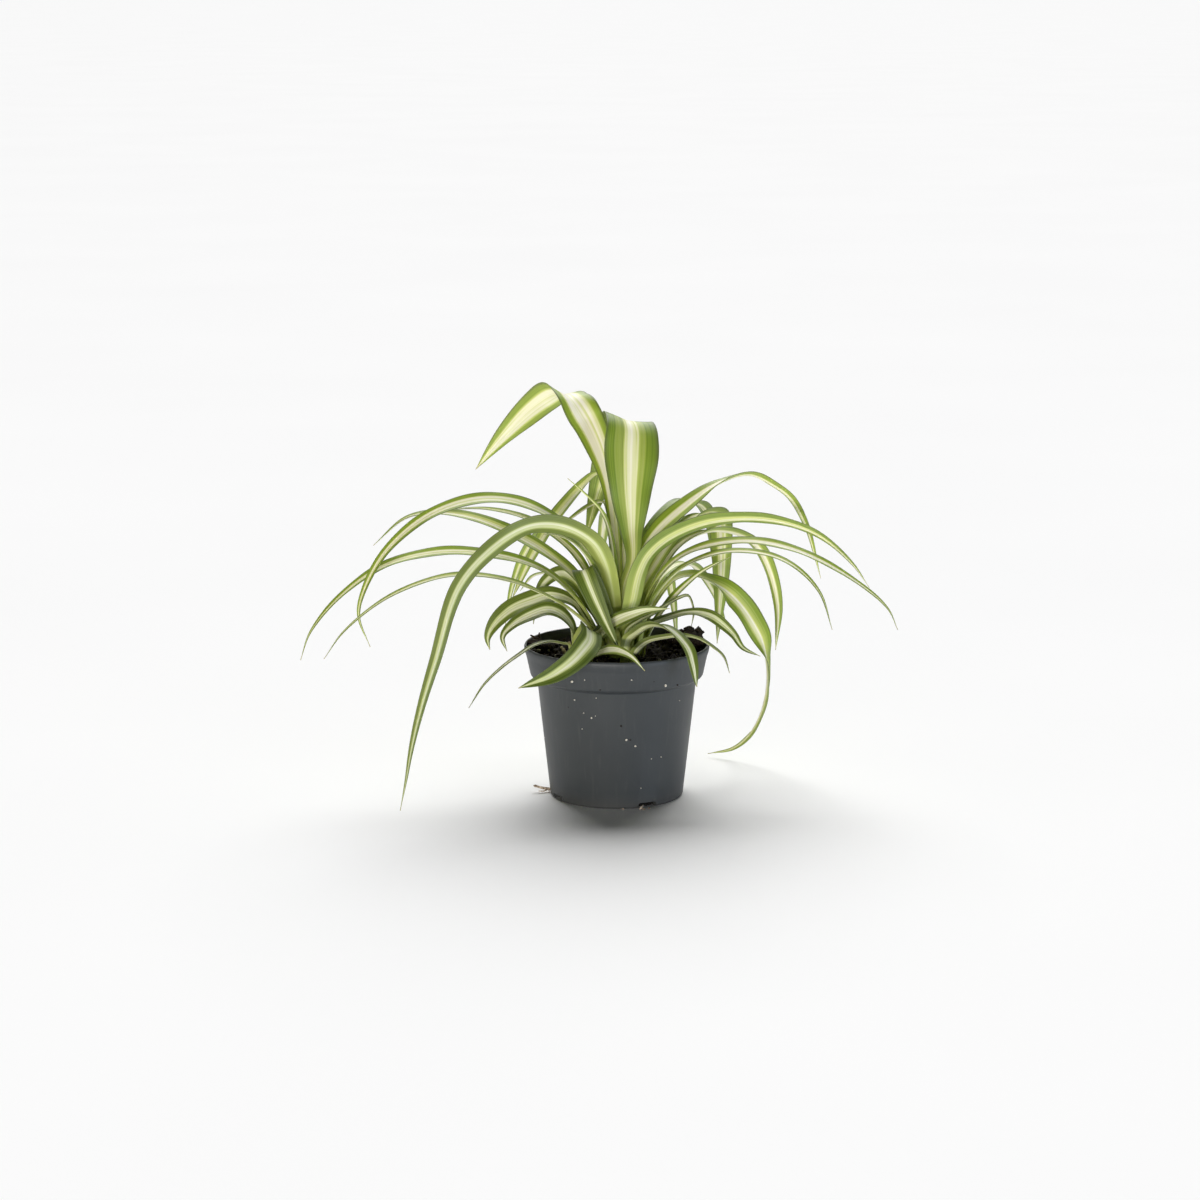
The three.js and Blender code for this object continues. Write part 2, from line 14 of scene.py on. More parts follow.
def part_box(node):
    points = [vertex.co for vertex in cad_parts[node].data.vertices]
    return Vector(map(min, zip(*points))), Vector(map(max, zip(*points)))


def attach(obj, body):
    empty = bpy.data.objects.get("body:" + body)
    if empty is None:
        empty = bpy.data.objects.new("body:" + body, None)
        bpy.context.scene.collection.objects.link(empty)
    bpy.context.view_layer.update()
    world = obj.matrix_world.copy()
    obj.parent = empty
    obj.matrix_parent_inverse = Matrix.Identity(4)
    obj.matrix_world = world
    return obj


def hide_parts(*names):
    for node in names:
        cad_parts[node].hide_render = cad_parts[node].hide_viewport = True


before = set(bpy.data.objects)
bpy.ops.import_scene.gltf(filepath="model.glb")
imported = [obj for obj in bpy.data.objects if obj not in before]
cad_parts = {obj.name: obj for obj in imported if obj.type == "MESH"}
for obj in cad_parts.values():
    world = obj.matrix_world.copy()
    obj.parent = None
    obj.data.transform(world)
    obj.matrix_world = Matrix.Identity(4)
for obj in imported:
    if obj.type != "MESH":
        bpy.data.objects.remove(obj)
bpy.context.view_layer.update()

bl_info = {
    "name": "Potted Spider Plant",
    "version": (1, 0, 0),
    "blender": (4, 5, 0),
    "location": "3D View > Sidebar > Spider Plant",
    "description": "Builds a striped spider plant in a grower's pot",
    "category": "Add Mesh",
}

MM = 0.001
POT_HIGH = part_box("pot")[1]

# Sizes that the solids share, in millimetres.
POT_BASE, POT_SHOULDER, POT_BAND = (37.8, 0), (45.2, 67.8), (49, 70.4)
POT_WALL, LIP_DEPTH, LIP_FLARE = 1.3, 6, 1.2
CHANNEL_INNER, CHANNEL_OUTER, CHANNEL_RISE, FOOT_DISC, FOOT_RING = 22.5, 32, 3, 20, 34
HOLE_RADIUS, HOLE_CIRCLE, HOLES, ARCH_WIDTH, ARCH_HEIGHT, FIRST_ARCH = 3.2, 27.2, 4, 11, 3.1, -63
SOIL_LEVEL, SOIL_FLOOR, SOIL_GAP, SOIL_RELIEF, SOIL_RIM_RISE = 79.5, 5.2, 0.85, 1.2, 1.2
HEAPS = [(33, 22, 5, 130), (-43, 4, 4.5, 60)]  # x, y, height and spread
CROWN_INNER, RING_STEP, CROWN_SINK, CROWN_COLLAR, CONE_RISE, CROWN_MARGIN = 2.5, 1.32, 7, 2, 3.4, 0.8
ROSETTES = {"main": (4, 6, 9), "left": (-20, -11, 4), "right": (3, -18, 4)}  # x, y and rings
BLADE_BASE, SHEATH_LENGTH, SHEATH_STEPS, SOLID_THICKNESS, MOST_CURL = 6.4, 26, (7, 14), 0.8, 80

# A blade's edges wave: these are the least and most length, and height as a share of the width.
# A keel runs below the midrib, as deep as this and as wide as this share of the half width.
# Rounding softens the channel's floor, and crowding sets the columns closer near the edges.
WAVE_LENGTHS, WAVE_HEIGHTS = (26, 42), (0.012, 0.03)
KEEL_DEPTH, KEEL_WIDTH, CHANNEL_ROUND, EDGE_CROWDING = 0.4, 0.1, 0.012, 0.82
DARK_TONE = 0.6   # main leaves from this tone on have the dark leaves' colours
SEED_STEP = 1.37  # sets the patterns of two leaves apart
LEAST_ROWS = 40   # cross-sections that a leaf has whatever its length

# Steps of the soil's top, the pot's rounded corners and the angle that stays a sharp edge.
SOIL_RINGS, SOIL_SIDES, CORNER_RADIUS, SHARP_ANGLE = 56, 190, 0.6, 40

# Loose peat, in millimetres, with angles in radians.
HEAP_CRUMBS, HEAP_SPREAD, PILE_CRUMBS, PILE_HEIGHT = 90, 4.6, 170, 12
PILE_ANGLES, PILE_REACH = (0.02, 0.66), (41, 49)
# The clods in the foot's front arch are painted shade: near-black bodies that stand in for the shadow in
# that opening.
FOOT_CLODS, CLOD_REACH, CLOD_SIDE, CLOD_UP = 46, (32.5, 35.2), 4.3, (0.6, 2.3)

# The stage, in metres. The camera stands where the photo's did.
CAMERA_PLACE, CAMERA_AIM, SENSOR_WIDTH = (-0.0095, -1.766, 0.462), (-0.0095, 0, 0.112), 36
LIGHT_AIM, LIGHT_DEPTH, OVERHEAD_SPREAD, SKY_STRENGTH = (0, 0, 0.1), 0.32, 55, 0.025
OVERHEAD_COURSE = (-0.05, -0.85, -1)

# One row for each leaf, as in the solids. A ring counts outwards from the middle of a crown.
# Headings are in degrees, 0 to the right and 90 to the back; root is the sheath's own.
# The route lists points of the midrib beyond the sheath: out, up and to the left, in millimetres.
# Stripe is the cream part of the blade's half width, lines is how much the green and the cream
# run into each other, and tone goes from 0, bright, to 1, dark. Looks gives them for the rows
# that leave them out.
# On the main plant a high tone is partly the leaf's own deeper green and partly painted shade on leaves
# that lie in shadow.
LOOKS = {"main": dict(stripe=0.4, lines=0.4, tone=0.3)}
LOOKS["left"] = LOOKS["right"] = dict(stripe=0.45, lines=0.2, tone=0.72)
MAIN_LEAVES = [
    dict(name="leaf_broad_back", ring=0, heading=92, width=33, neck=0.2, swell=0.54, taper=1.25, fold=10,
         roll=(0, 0, -10, -30, -18), stripe=0.14, lines=1.2, tone=0.48,
         route=[(2, 118), (4, 133, -5), (8, 151, -4.5), (13, 172, -4), (20, 192, -4.5), (28, 204, -5),
                (38, 208, -3), (48, 201, 1), (55, 186, 6), (60, 162, 13), (64, 134, 20)]),
    dict(name="leaf_tall_back_left", ring=1, heading=130, width=24, neck=0.28, swell=0.7, taper=1.5,
         roll=(0, 10, 22, 32, 37, 38, 40, 32, -8, -38, -42, -42, -42), stripe=0.6, tone=0.15,
         route=[(6, 118, 0), (9.9, 132, -3.1), (15.1, 154, -5.1), (21.6, 177, -7), (29, 193, -6.7),
                (36.3, 206, -5), (42.8, 215.5, -2.6), (49.2, 220.5, -2.1), (56, 222, -3.3),
                (63, 221, -2.6), (70.3, 217, -0.2), (79.8, 209, 4.9), (90.6, 197, 11.5),
                (99.7, 186, 16.9), (107.4, 175, 22.2)]),
    dict(name="leaf_upright_left", ring=1, heading=195, root=230, width=6.4, swell=0.25, taper=1.6,
         stripe=0.3, lines=0.2,
         route=[(5, 118), (8, 148), (13, 162), (23, 173, 1), (33, 182, 1)]),
    dict(name="leaf_thin_arch_right", ring=2, heading=26, width=13, swell=0.3, taper=2,
         roll=(0, 0, -34, 10, 16, 20), stripe=0.36, lines=0.2, tone=0.15,
         route=[(8, 116, 1), (13.5, 135, 3), (23, 146, 5.5), (40, 159, 6), (65, 173, 5), (83, 176, 5),
                (98, 169, 4), (110, 160, 4), (120, 143, 3), (127, 122, 3), (130, 112, 3)]),
    dict(name="leaf_back_left_long", ring=2, heading=115, root=104, width=10, neck=0.3, swell=0.6,
         taper=2.6, roll=(0, 0, -40, -75, -90), stripe=0.5, lines=0.2, tone=0.1,
         route=[(10, 118, -4), (17, 142, -8), (25, 163, -10), (33, 176, -8), (39, 178, -3),
                (46, 171, 3), (58, 152, 15), (69, 127, 26), (79, 100, 35)]),
    dict(name="leaf_front_left_arch", ring=2, heading=224, root=230, width=13, swell=0.25, taper=1.6,
         roll=(0, -15, -32, -60, -88, -98, -102, -104, -106), stripe=0.26, lines=0.7, tone=0.7,
         route=[(11, 116, 1.6), (20, 136, 4), (31, 149, 5), (50, 159, 2), (70, 161, -2), (91, 153, -6),
                (116, 133, -9), (135, 94, -8), (146, 71, -7), (155, 50, -5), (161, 33, -3),
                (166, 18, -2)]),
    dict(name="leaf_dome_back", ring=3, heading=72, width=15, swell=0.4, taper=2, roll=(0, 16, 30),
         stripe=0.3, lines=0.2, tone=0.55,
         route=[(13, 116, -0.3), (22.5, 138, -7), (36, 150, -12), (52, 157, -16), (68, 157, -19),
                (83, 152, -22), (96, 141, -23), (106, 125, -22), (112, 107, -21)]),
    dict(name="leaf_big_arch_right", ring=3, heading=6, root=294, width=12, swell=0.2, taper=1.8,
         roll=(0, 0, -14, -24, -28, -30), stripe=0.32, lines=0.5, tone=0.58,
         route=[(2.5, 106, -10.8), (4.5, 114, -10.8), (6, 121, -9.6), (8.5, 129, -8), (13, 137, -6),
                (22, 145, -4), (37, 152, -2), (55, 156, -1), (85, 155), (111, 146), (131, 129),
                (141, 115)]),
    dict(name="leaf_thin_back_left", ring=3, heading=120, root=133, width=8, swell=0.5, taper=2,
         roll=(0, -10, -30),
         route=[(11, 118, -1), (20, 138, -4), (27, 154, -6), (32, 162, -5), (39, 159), (48, 150, 9),
                (55, 142, 16)]),
    dict(name="leaf_long_arch_left", ring=4, heading=192, root=185, width=11, swell=0.3, taper=2.2,
         roll=(0, 22, 30),
         route=[(12.5, 117, -1.5), (18, 136, -3), (34, 154, -3), (59, 168, -2), (84, 171), (111, 163),
                (135, 144), (148, 122), (151, 108), (145, 90)]),
    dict(name="leaf_droop_right", ring=4, heading=50, width=16, swell=0.45, taper=2.2,
         roll=(0, 10, 35, 40),
         route=[(15, 113), (24, 128, -4), (39, 143, -6), (55, 151, -6), (70, 152, -6), (81, 147, -5),
                (86, 128, -3), (87, 107, -2), (87, 91, -1), (85, 72, -1)]),
    dict(name="leaf_long_right", ring=4, heading=-8, width=10, swell=0.3, taper=2.2, roll=(0, -18, -20),
         route=[(15, 115), (27, 132), (42, 141), (70, 146), (99, 141), (129, 126), (149, 110),
                (155, 98)]),
    dict(name="leaf_back", ring=4, heading=96, root=103, width=12, swell=0.3, taper=2, roll=(0, -10, 10),
         route=[(15, 111), (30, 134), (56, 145), (92, 143), (120, 120), (134, 90)]),
    dict(name="leaf_left_short", ring=5, heading=167, width=9, swell=0.3, taper=1.8, roll=(0, 16, 16),
         route=[(15.5, 111), (22.5, 127), (33, 140), (56, 155), (80, 160), (105, 159)]),
    dict(name="leaf_under_front_left", ring=5, heading=206, root=214, width=13, swell=0.35, taper=2,
         roll=(0, 14, 24), stripe=0.35, lines=0.2, tone=0.55,
         route=[(14, 109, 2), (18, 123, 3), (24, 137, 3), (33, 147, 3), (43, 152, 2), (51, 153, 2)]),
    dict(name="leaf_back_left", ring=5, heading=121, width=11, swell=0.3, taper=2,
         route=[(16, 106), (38, 132), (70, 142), (104, 128), (128, 98), (138, 70)]),
    dict(name="leaf_mid_droop_right", ring=5, heading=30, width=13, swell=0.4, taper=2.2,
         roll=(0, 0, 20, 55),
         route=[(16, 110), (34, 135, 2), (56, 144, 4), (75, 142, 3), (89, 134, 1), (99, 118, 1),
                (105, 96, 1), (105, 70, 3)]),
    dict(name="leaf_thin_right", ring=5, heading=-17, root=-20, width=8, swell=0.3, taper=2,
         roll=(0, -18, -20),
         route=[(16, 109), (34, 131), (64, 142), (94, 138), (113, 122), (121, 101)]),
    dict(name="leaf_back_right", ring=5, heading=76, width=11, swell=0.3, taper=2,
         route=[(17, 104), (42, 126), (76, 130), (108, 112), (130, 80), (140, 52)]),
    dict(name="leaf_under_arch_left", ring=6, heading=175, width=13, swell=0.35, taper=2,
         roll=(0, 22, 8),
         route=[(17, 106), (27, 122), (43, 136), (58, 145), (84, 156), (106, 159), (124, 156),
                (143, 140)]),
    dict(name="leaf_big_droop_right", ring=6, heading=14, width=15.5, swell=0.4, taper=1.3,
         roll=(0, -4, -8, -18, -72, -92, -40, -36, -36, -20, 10), stripe=0.36, lines=0.8,
         route=[(18.5, 107.5, 0.6), (31, 120.5, 3), (43, 122, 4), (54, 117, 5), (63, 111, 6),
                (71, 103, 6), (79, 92, 8), (84, 83, 9), (88, 71, 12), (91, 55, 18), (91, 34, 29),
                (87, 18, 40), (80, 7, 52), (68, 1.9, 63)]),
    dict(name="leaf_low_back_left", ring=7, heading=142, root=146, width=10, swell=0.3, taper=2,
         route=[(20.5, 99), (37, 114), (52, 120), (66, 117), (76, 107)]),
    dict(name="leaf_low_back", ring=6, heading=58, width=11, swell=0.3, taper=2,
         route=[(19, 100), (42, 118), (72, 120), (100, 100), (120, 70)]),
    dict(name="leaf_mid_arch_left", ring=7, heading=186, width=10, swell=0.3, taper=2.2,
         roll=(0, 24, 26),
         route=[(21, 103), (30, 115), (45, 128), (70, 137), (104, 140), (135, 133), (160, 116),
                (177, 96), (183, 80)]),
    dict(name="leaf_level_right", ring=7, heading=-2, width=10, swell=0.3, taper=1.8, roll=(0, -16, -22),
         stripe=0.45, lines=0.2, tone=0.4,
         route=[(20, 101), (30, 114), (44, 127), (60, 136)]),
    dict(name="leaf_hang_left", ring=6, heading=160, root=136, width=11, neck=0.2, swell=0.5, taper=2,
         roll=(0, 24, 45), lines=0.2, tone=0.6,
         route=[(20, 106, -1), (28.5, 119.5, -0.5), (39, 123, -1), (48, 117), (53, 105), (55, 93)]),
    dict(name="leaf_low_left", ring=8, heading=199, root=204, width=7, swell=0.25, taper=1.8,
         roll=(0, 22, 18),
         route=[(21, 97), (36, 110), (68, 126), (102, 131), (136, 122), (163, 104), (175, 89)]),
    dict(name="leaf_hoop_left", ring=8, heading=179, root=167, width=14, neck=0.25, swell=0.6, taper=2.2,
         roll=(0, 24, 40), stripe=0.42, lines=0.2, tone=0.62,
         route=[(22, 99, -1.6), (29, 109, -1), (41, 113), (52, 110), (64, 105, 1), (73, 97, 2),
                (77, 89, 2), (76, 82, 2)]),
    dict(name="leaf_folded_front", ring=8, heading=252, width=13, swell=0.45, taper=2.6, stripe=0.2,
         lines=0.5, tone=0.8,
         route=[(18, 98, -3), (22, 114, -8), (25, 127, -13), (28, 132, -15), (31, 128, -12),
                (33, 114, -5), (34, 101, 2), (36, 90, 9)]),
]
LEFT_LEAVES = [
    dict(name="small_leaf_left_curl", ring=1, heading=186, root=182, width=13, swell=0.4, taper=2,
         roll=(0, 25, 35),
         route=[(6, 99), (12, 106), (19, 108.5), (28, 106), (38, 101), (44, 94), (42, 86, 2)]),
    dict(name="small_leaf_thin_over_rim", ring=3, heading=205, width=4.5, swell=0.3, taper=1.8,
         route=[(10, 90), (19, 92), (30, 91, 2), (39, 87, 3), (50, 81, 4), (62, 72, 5), (71, 60, 5)]),
    dict(name="small_leaf_over_rim", ring=2, heading=250, root=254, width=16, swell=0.45, taper=2.2,
         roll=(0, 0, 25, 10), stripe=0.36, lines=0.5, tone=0.85,
         route=[(11, 99, 8), (20, 101, 12), (29, 98, 15), (39, 95, 15), (48, 91, 13), (55, 87, 9),
                (62, 83, 3), (72, 78, -10)]),
    dict(name="small_leaf_front_pale", ring=3, heading=318, root=331, width=8, swell=0.4, taper=1.8,
         roll=(0, -12, -25), stripe=0.62, lines=0.1, tone=0.5,
         route=[(13, 85.5, -4.6), (20, 87.5, -7), (29, 91, -10), (39, 92.5, -12), (50, 90.5, -13),
                (58, 84, -12)]),
    dict(name="small_leaf_low_front", ring=2, heading=348, root=20, width=10, swell=0.45, taper=1.8,
         roll=(0, -15, -45), stripe=0.6, lines=0.1, tone=0.7,
         route=[(12, 96, -2), (17, 101, -5), (23, 105, -7), (31, 109, -9), (40, 112, -9), (52, 113, -8)]),
]
RIGHT_LEAVES = [
    dict(name="small_leaf_right_over_rim", ring=2, heading=326, root=294, width=12, swell=0.45,
         taper=3.6, roll=(0, -20, -35, -55),
         route=[(6, 94, -2), (11, 98, -2), (17, 102, -2), (24, 104, -2), (31, 103, -2), (38, 99, -2),
                (45, 93, -3), (49, 85, -4), (52, 73, -4)]),
    dict(name="small_leaf_right_low", ring=3, heading=338, width=9, swell=0.4, taper=1.8,
         roll=(0, -20, -35),
         route=[(7, 84, -1), (11, 89, -2), (16, 93, -1), (25, 96, -1), (38, 98), (46, 97), (54, 93),
                (60, 88, 1), (64, 79)]),
    dict(name="small_leaf_right_reach", ring=1, heading=4, root=22, width=10, swell=0.4, taper=1.8,
         roll=(0, -5, -10, -60, -60),
         route=[(6, 95, 2), (10, 98, 4), (19, 101, 5), (28, 104, 5), (36, 106, 5), (44, 106, 5),
                (51, 104, 4), (58, 99, 4), (63, 94, 3), (68, 87, 1), (78, 82, 1)]),
    dict(name="small_leaf_right_hoop", ring=0, heading=26, root=29, width=7, swell=0.3, taper=1.8,
         roll=(0, -10, -10),
         route=[(4, 97, 2), (12, 102, 2), (19, 105, 1), (24, 108), (30, 111), (35, 114, -2),
                (40, 115, -3), (42, 111, -4), (43, 105, -4), (42, 97, -3)]),
]


# ---------------------------------------------------------------- colours and nodes

def linear(text):
    """Turn an sRGB hex colour into linear red, green, blue and alpha."""
    channels = [int(text[i:i + 2], 16) / 255 for i in (1, 3, 5)]
    return (*[c / 12.92 if c <= 0.04045 else ((c + 0.055) / 1.055) ** 2.4 for c in channels], 1.0)


def add_node(tree, kind, settings=None, links=None):
    """Add a shader node, set its properties and input values, and link its inputs to other nodes."""
    node = tree.nodes.new("ShaderNode" + kind)
    for key, value in (settings or {}).items():
        if isinstance(key, int) or key in node.inputs:
            node.inputs[key].default_value = value
        else:
            setattr(node, key, value)
    for key, source in (links or {}).items():
        if isinstance(source, bpy.types.Node):
            source = source.outputs[0]
        tree.links.new(source, node.inputs[key])
    return node


def new_material(name, **shader):
    """Make a material whose one shader has these constant socket values."""
    material = bpy.data.materials.new(name)
    material.use_nodes = True
    tree = material.node_tree
    tree.nodes.clear()
    surface = add_node(tree, "BsdfPrincipled", shader)
    add_node(tree, "OutputMaterial", links={"Surface": surface})
    return material, tree, surface


def per_metre(size):
    """Texture scale at which one cell of a pattern is this many millimetres."""
    return 1000 / size


MIX_A, MIX_B, MIX_COLOUR = 6, 7, 2  # sockets of a Mix node that works on colours


# Living leaf: a smooth waxy skin over green tissue, grown in long parallel veins. The middle
# stripe has no chlorophyll, so it is cream. The wax gives a satin gleam that breaks along the
# veins, and light comes through the thin blade.
def striped_leaf(name, bright, deep, cream, lime):
    material, tree, surface = new_material(
        name, Roughness=0.44, IOR=1.45, **{
            "Subsurface Weight": 0.16, "Subsurface Radius": (0.9, 0.85, 0.4),
            "Subsurface Scale": 0.9 * MM, "Specular IOR Level": 0.34})
    node = partial(add_node, tree)
    across, along, stripe, lines, tone, under, seed = [
        node("Attribute", {"attribute_name": word}).outputs["Fac"]
        for word in ("across", "along", "stripe", "lines", "tone", "under", "seed")]

    # The stripe's edges waver a little along the blade.
    wave_place = node("CombineXYZ", links={0: along, 1: seed})
    wave = node("TexNoise", {"Scale": 5.0, "Detail": 1.0}, {"Vector": wave_place})
    wavered = node("Math", {"operation": "MULTIPLY_ADD", 1: 0.16}, {0: wave, 2: across})
    centred = node("Math", {"operation": "SUBTRACT", 1: 0.08}, {0: wavered})
    half = node("Math", {"operation": "ABSOLUTE"}, {0: centred})

    # Long streaks, one for every few veins, and fine ones, one for each vein.
    streak_across = node("Math", {"operation": "MULTIPLY", 1: 5.5}, {0: across})
    vein_across = node("Math", {"operation": "MULTIPLY", 1: 24.0}, {0: across})
    streak_place = node("CombineXYZ", links={0: streak_across, 1: along, 2: seed})
    vein_place = node("CombineXYZ", links={0: vein_across, 1: along, 2: seed})
    streak = node("TexNoise", {"Scale": 1.0, "Detail": 3.0}, {"Vector": streak_place})
    vein = node("TexNoise", {"Scale": 1.0, "Detail": 2.0}, {"Vector": vein_place})

    # How far a point is beyond the stripe's edge, which narrows towards the tip.
    narrowing = node("MapRange", {"From Min": 0.55, "From Max": 1.0, "To Min": 1.0, "To Max": 0.7,
                                  "interpolation_type": "SMOOTHSTEP"}, {"Value": along})
    stripe_here = node("Math", {"operation": "MULTIPLY"}, {0: stripe, 1: narrowing})
    beyond = node("Math", {"operation": "SUBTRACT"}, {0: half, 1: stripe_here})
    uneven = node("Math", {"operation": "SUBTRACT", 1: 0.5}, {0: streak})
    spread = node("Math", {"operation": "MULTIPLY_ADD", 2: 0.25}, {0: lines, 1: lines})
    shifted = node("Math", {"operation": "MULTIPLY_ADD"}, {0: uneven, 1: spread, 2: beyond})
    green = node("MapRange", {"From Min": -0.05, "From Max": 0.05, "interpolation_type": "SMOOTHSTEP"},
                 {"Value": shifted})
    near = node("Math", {"operation": "ABSOLUTE"}, {0: shifted})
    lime_reach = node("Math", {"operation": "MULTIPLY_ADD", 1: 0.35, 2: 0.04}, {0: lines})
    lime_edge = node("MapRange", {"From Min": 0.0, "To Min": 0.8, "To Max": 0.0},
                     {"Value": near, "From Max": lime_reach})

    tissue = node("MapRange", {"From Min": 0.3, "From Max": 0.7}, {"Value": vein})
    toned = node("Math", {"operation": "MULTIPLY_ADD", 1: 0.5, 2: -0.2}, {0: tissue})
    depth = node("Math", {"operation": "ADD", "use_clamp": True}, {0: toned, 1: tone})
    margin = node("Mix", {"data_type": "RGBA", MIX_A: linear(bright), MIX_B: linear(deep)}, {0: depth})
    cream_lines = node("MapRange", {"From Min": 0.46, "From Max": 0.62, "To Max": 0.8}, {"Value": streak})
    middle = node("Mix", {"data_type": "RGBA", MIX_A: linear(cream), MIX_B: linear(lime)},
                  {0: cream_lines})
    coloured = node("Mix", {"data_type": "RGBA"},
                    {0: green, MIX_A: middle.outputs[MIX_COLOUR], MIX_B: margin.outputs[MIX_COLOUR]})

    # Over these lie lime lines at the stripe's edge, a thin hard rim, a pale sheath at the base, a
    # duller underside and a dry point.
    rim = node("MapRange", {"From Min": 0.84, "From Max": 0.96, "To Max": 0.8}, {"Value": half})
    base = node("MapRange", {"From Min": 0.05, "From Max": 0.34, "To Min": 0.85, "To Max": 0.0,
                             "interpolation_type": "SMOOTHSTEP"}, {"Value": along})
    below = node("Math", {"operation": "MULTIPLY", 1: 0.12}, {0: under})
    point = node("MapRange", {"From Min": 0.975, "From Max": 1.0, "To Max": 0.7}, {"Value": along})
    for colour, share in ((lime, lime_edge), ("#5a6636", rim), ("#c6d168", base), ("#cdd694", below),
                          ("#a89660", point)):
        coloured = node("Mix", {"data_type": "RGBA", MIX_B: linear(colour)},
                        {0: share, MIX_A: coloured.outputs[MIX_COLOUR]})
    tree.links.new(coloured.outputs[MIX_COLOUR], surface.inputs["Base Color"])

    gleam = node("MapRange", {"To Min": 0.36, "To Max": 0.54}, {"Value": vein})
    tree.links.new(gleam.outputs[0], surface.inputs["Roughness"])
    bump = node("Bump", {"Strength": 0.5, "Distance": 0.15 * MM}, {"Height": vein})
    tree.links.new(bump.outputs[0], surface.inputs["Normal"])
    return material


# Polypropylene, injection moulded: a slightly waxy grey plastic with a soft sheen. Handling
# leaves faint scuffs, and watering leaves a dusty film under the rim and down the wall.
def moulded_polypropylene(name, colour):
    material, tree, surface = new_material(name, Roughness=0.5, IOR=1.49)
    node = partial(add_node, tree)
    place = node("TexCoord").outputs["Object"]
    cloud = node("TexNoise", {"Scale": per_metre(30), "Detail": 4.0}, {"Vector": place})
    tall = node("Mapping", {"Scale": (1.0, 1.0, 0.06)}, {"Vector": place})
    runs = node("TexNoise", {"Scale": per_metre(2.5), "Detail": 3.0}, {"Vector": tall})
    grain = node("TexNoise", {"Scale": per_metre(0.8), "Detail": 2.0}, {"Vector": place})
    mottled = node("Mix", {"data_type": "RGBA", MIX_A: colour, MIX_B: linear("#393d3f")}, {0: cloud})
    film = node("MapRange", {"From Min": 0.56, "From Max": 0.85, "To Max": 0.1}, {"Value": runs})
    dusty = node("Mix", {"data_type": "RGBA", MIX_B: linear("#77756f")},
                 {0: film, MIX_A: mottled.outputs[MIX_COLOUR]})
    height = node("SeparateXYZ", links={0: place})
    low = node("MapRange", {"From Min": 0.0, "From Max": 9 * MM, "To Min": 0.15, "To Max": 0.0},
               {"Value": height.outputs["Z"]})
    settled = node("Mix", {"data_type": "RGBA", MIX_B: linear("#6a655c")},
                   {0: low, MIX_A: dusty.outputs[MIX_COLOUR]})
    tree.links.new(settled.outputs[MIX_COLOUR], surface.inputs["Base Color"])
    sheen = node("MapRange", {"To Min": 0.4, "To Max": 0.62}, {"Value": cloud})
    tree.links.new(sheen.outputs[0], surface.inputs["Roughness"])
    bump = node("Bump", {"Strength": 0.25, "Distance": 0.05 * MM}, {"Height": grain})
    tree.links.new(bump.outputs[0], surface.inputs["Normal"])
    return material


# Loose natural stuff with a rough dull surface: peat, perlite, bark, roots and cut stubs.
# Grain is the size in millimetres of its lumps or fibres; the two colours go on its raised and sunken
# parts, and the darker one in the sunken parts is partly the matter's own uneven tone and partly painted
# shade in its hollows.
def rough_matter(name, raised, sunken_tone_and_shade, grain, relief, roughness=0.95):
    material, tree, surface = new_material(name, Roughness=roughness, IOR=1.4)
    node = partial(add_node, tree)
    place = node("TexCoord").outputs["Object"]
    lumps = node("TexNoise", {"Scale": per_metre(grain), "Detail": 6.0, "Roughness": 0.65},
                 {"Vector": place})
    share = node("MapRange", {"From Min": 0.38, "From Max": 0.66}, {"Value": lumps})
    # The low parts of the lumps take the darker colour: partly uneven tone, partly painted shade in the
    # hollows.
    colour = node("Mix", {"data_type": "RGBA", MIX_A: linear(sunken_tone_and_shade), MIX_B: linear(raised)}, {0: share})
    tree.links.new(colour.outputs[MIX_COLOUR], surface.inputs["Base Color"])
    bump = node("Bump", {"Strength": 0.8, "Distance": relief * MM}, {"Height": lumps})
    tree.links.new(bump.outputs[0], surface.inputs["Normal"])
    return material


# ---------------------------------------------------------------- meshes

def new_mesh(name, verts, faces):
    """Make a mesh from points in millimetres."""
    mesh = bpy.data.meshes.new(name)
    mesh.from_pydata([tuple(c * MM for c in point) for point in verts], [], faces)
    return mesh


def add_piece(name, verts, faces, material, replaced=(), attributes=None):
    """Make a smooth-shaded mesh object, and give it to the part."""
    mesh = new_mesh(name, verts, faces)
    for word, values in (attributes or {}).items():
        mesh.attributes.new(word, "FLOAT", "POINT").data.foreach_set("value", values)
    mesh.polygons.foreach_set("use_smooth", [True] * len(mesh.polygons))
    mesh.materials.append(material)
    piece = bpy.data.objects.new(name, mesh)
    bpy.context.collection.objects.link(piece)
    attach(piece, "root")
    if replaced:
        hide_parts(*replaced)
    return piece


def smooth(value):
    """Ease a share from 0 to 1."""
    value = min(max(value, 0.0), 1.0)
    return value * value * (3 - 2 * value)


def bearing(degrees, out, up, side=0.0, centre=(0, 0)):
    """A point out from a centre along a heading, raised, and set off to the heading's left."""
    a = math.radians(degrees)
    return (centre[0] + out * math.cos(a) - side * math.sin(a),
            centre[1] + out * math.sin(a) + side * math.cos(a), up)


def ring_points(radius, height, sides):
    """Even points round the upright axis."""
    angles = [math.tau * side / sides for side in range(sides)]
    return [(radius * math.cos(a), radius * math.sin(a), height) for a in angles]


def grid_faces(rows, columns, start=0, closed=False, flip=False):
    """Quads between neighbouring points of a grid of rows."""
    faces = []
    for i in range(rows - 1):
        for j in range(columns if closed else columns - 1):
            a, b = start + i * columns + j, start + i * columns + (j + 1) % columns
            quad = (a, b, b + columns, a + columns)
            faces.append(quad[::-1] if flip else quad)
    return faces


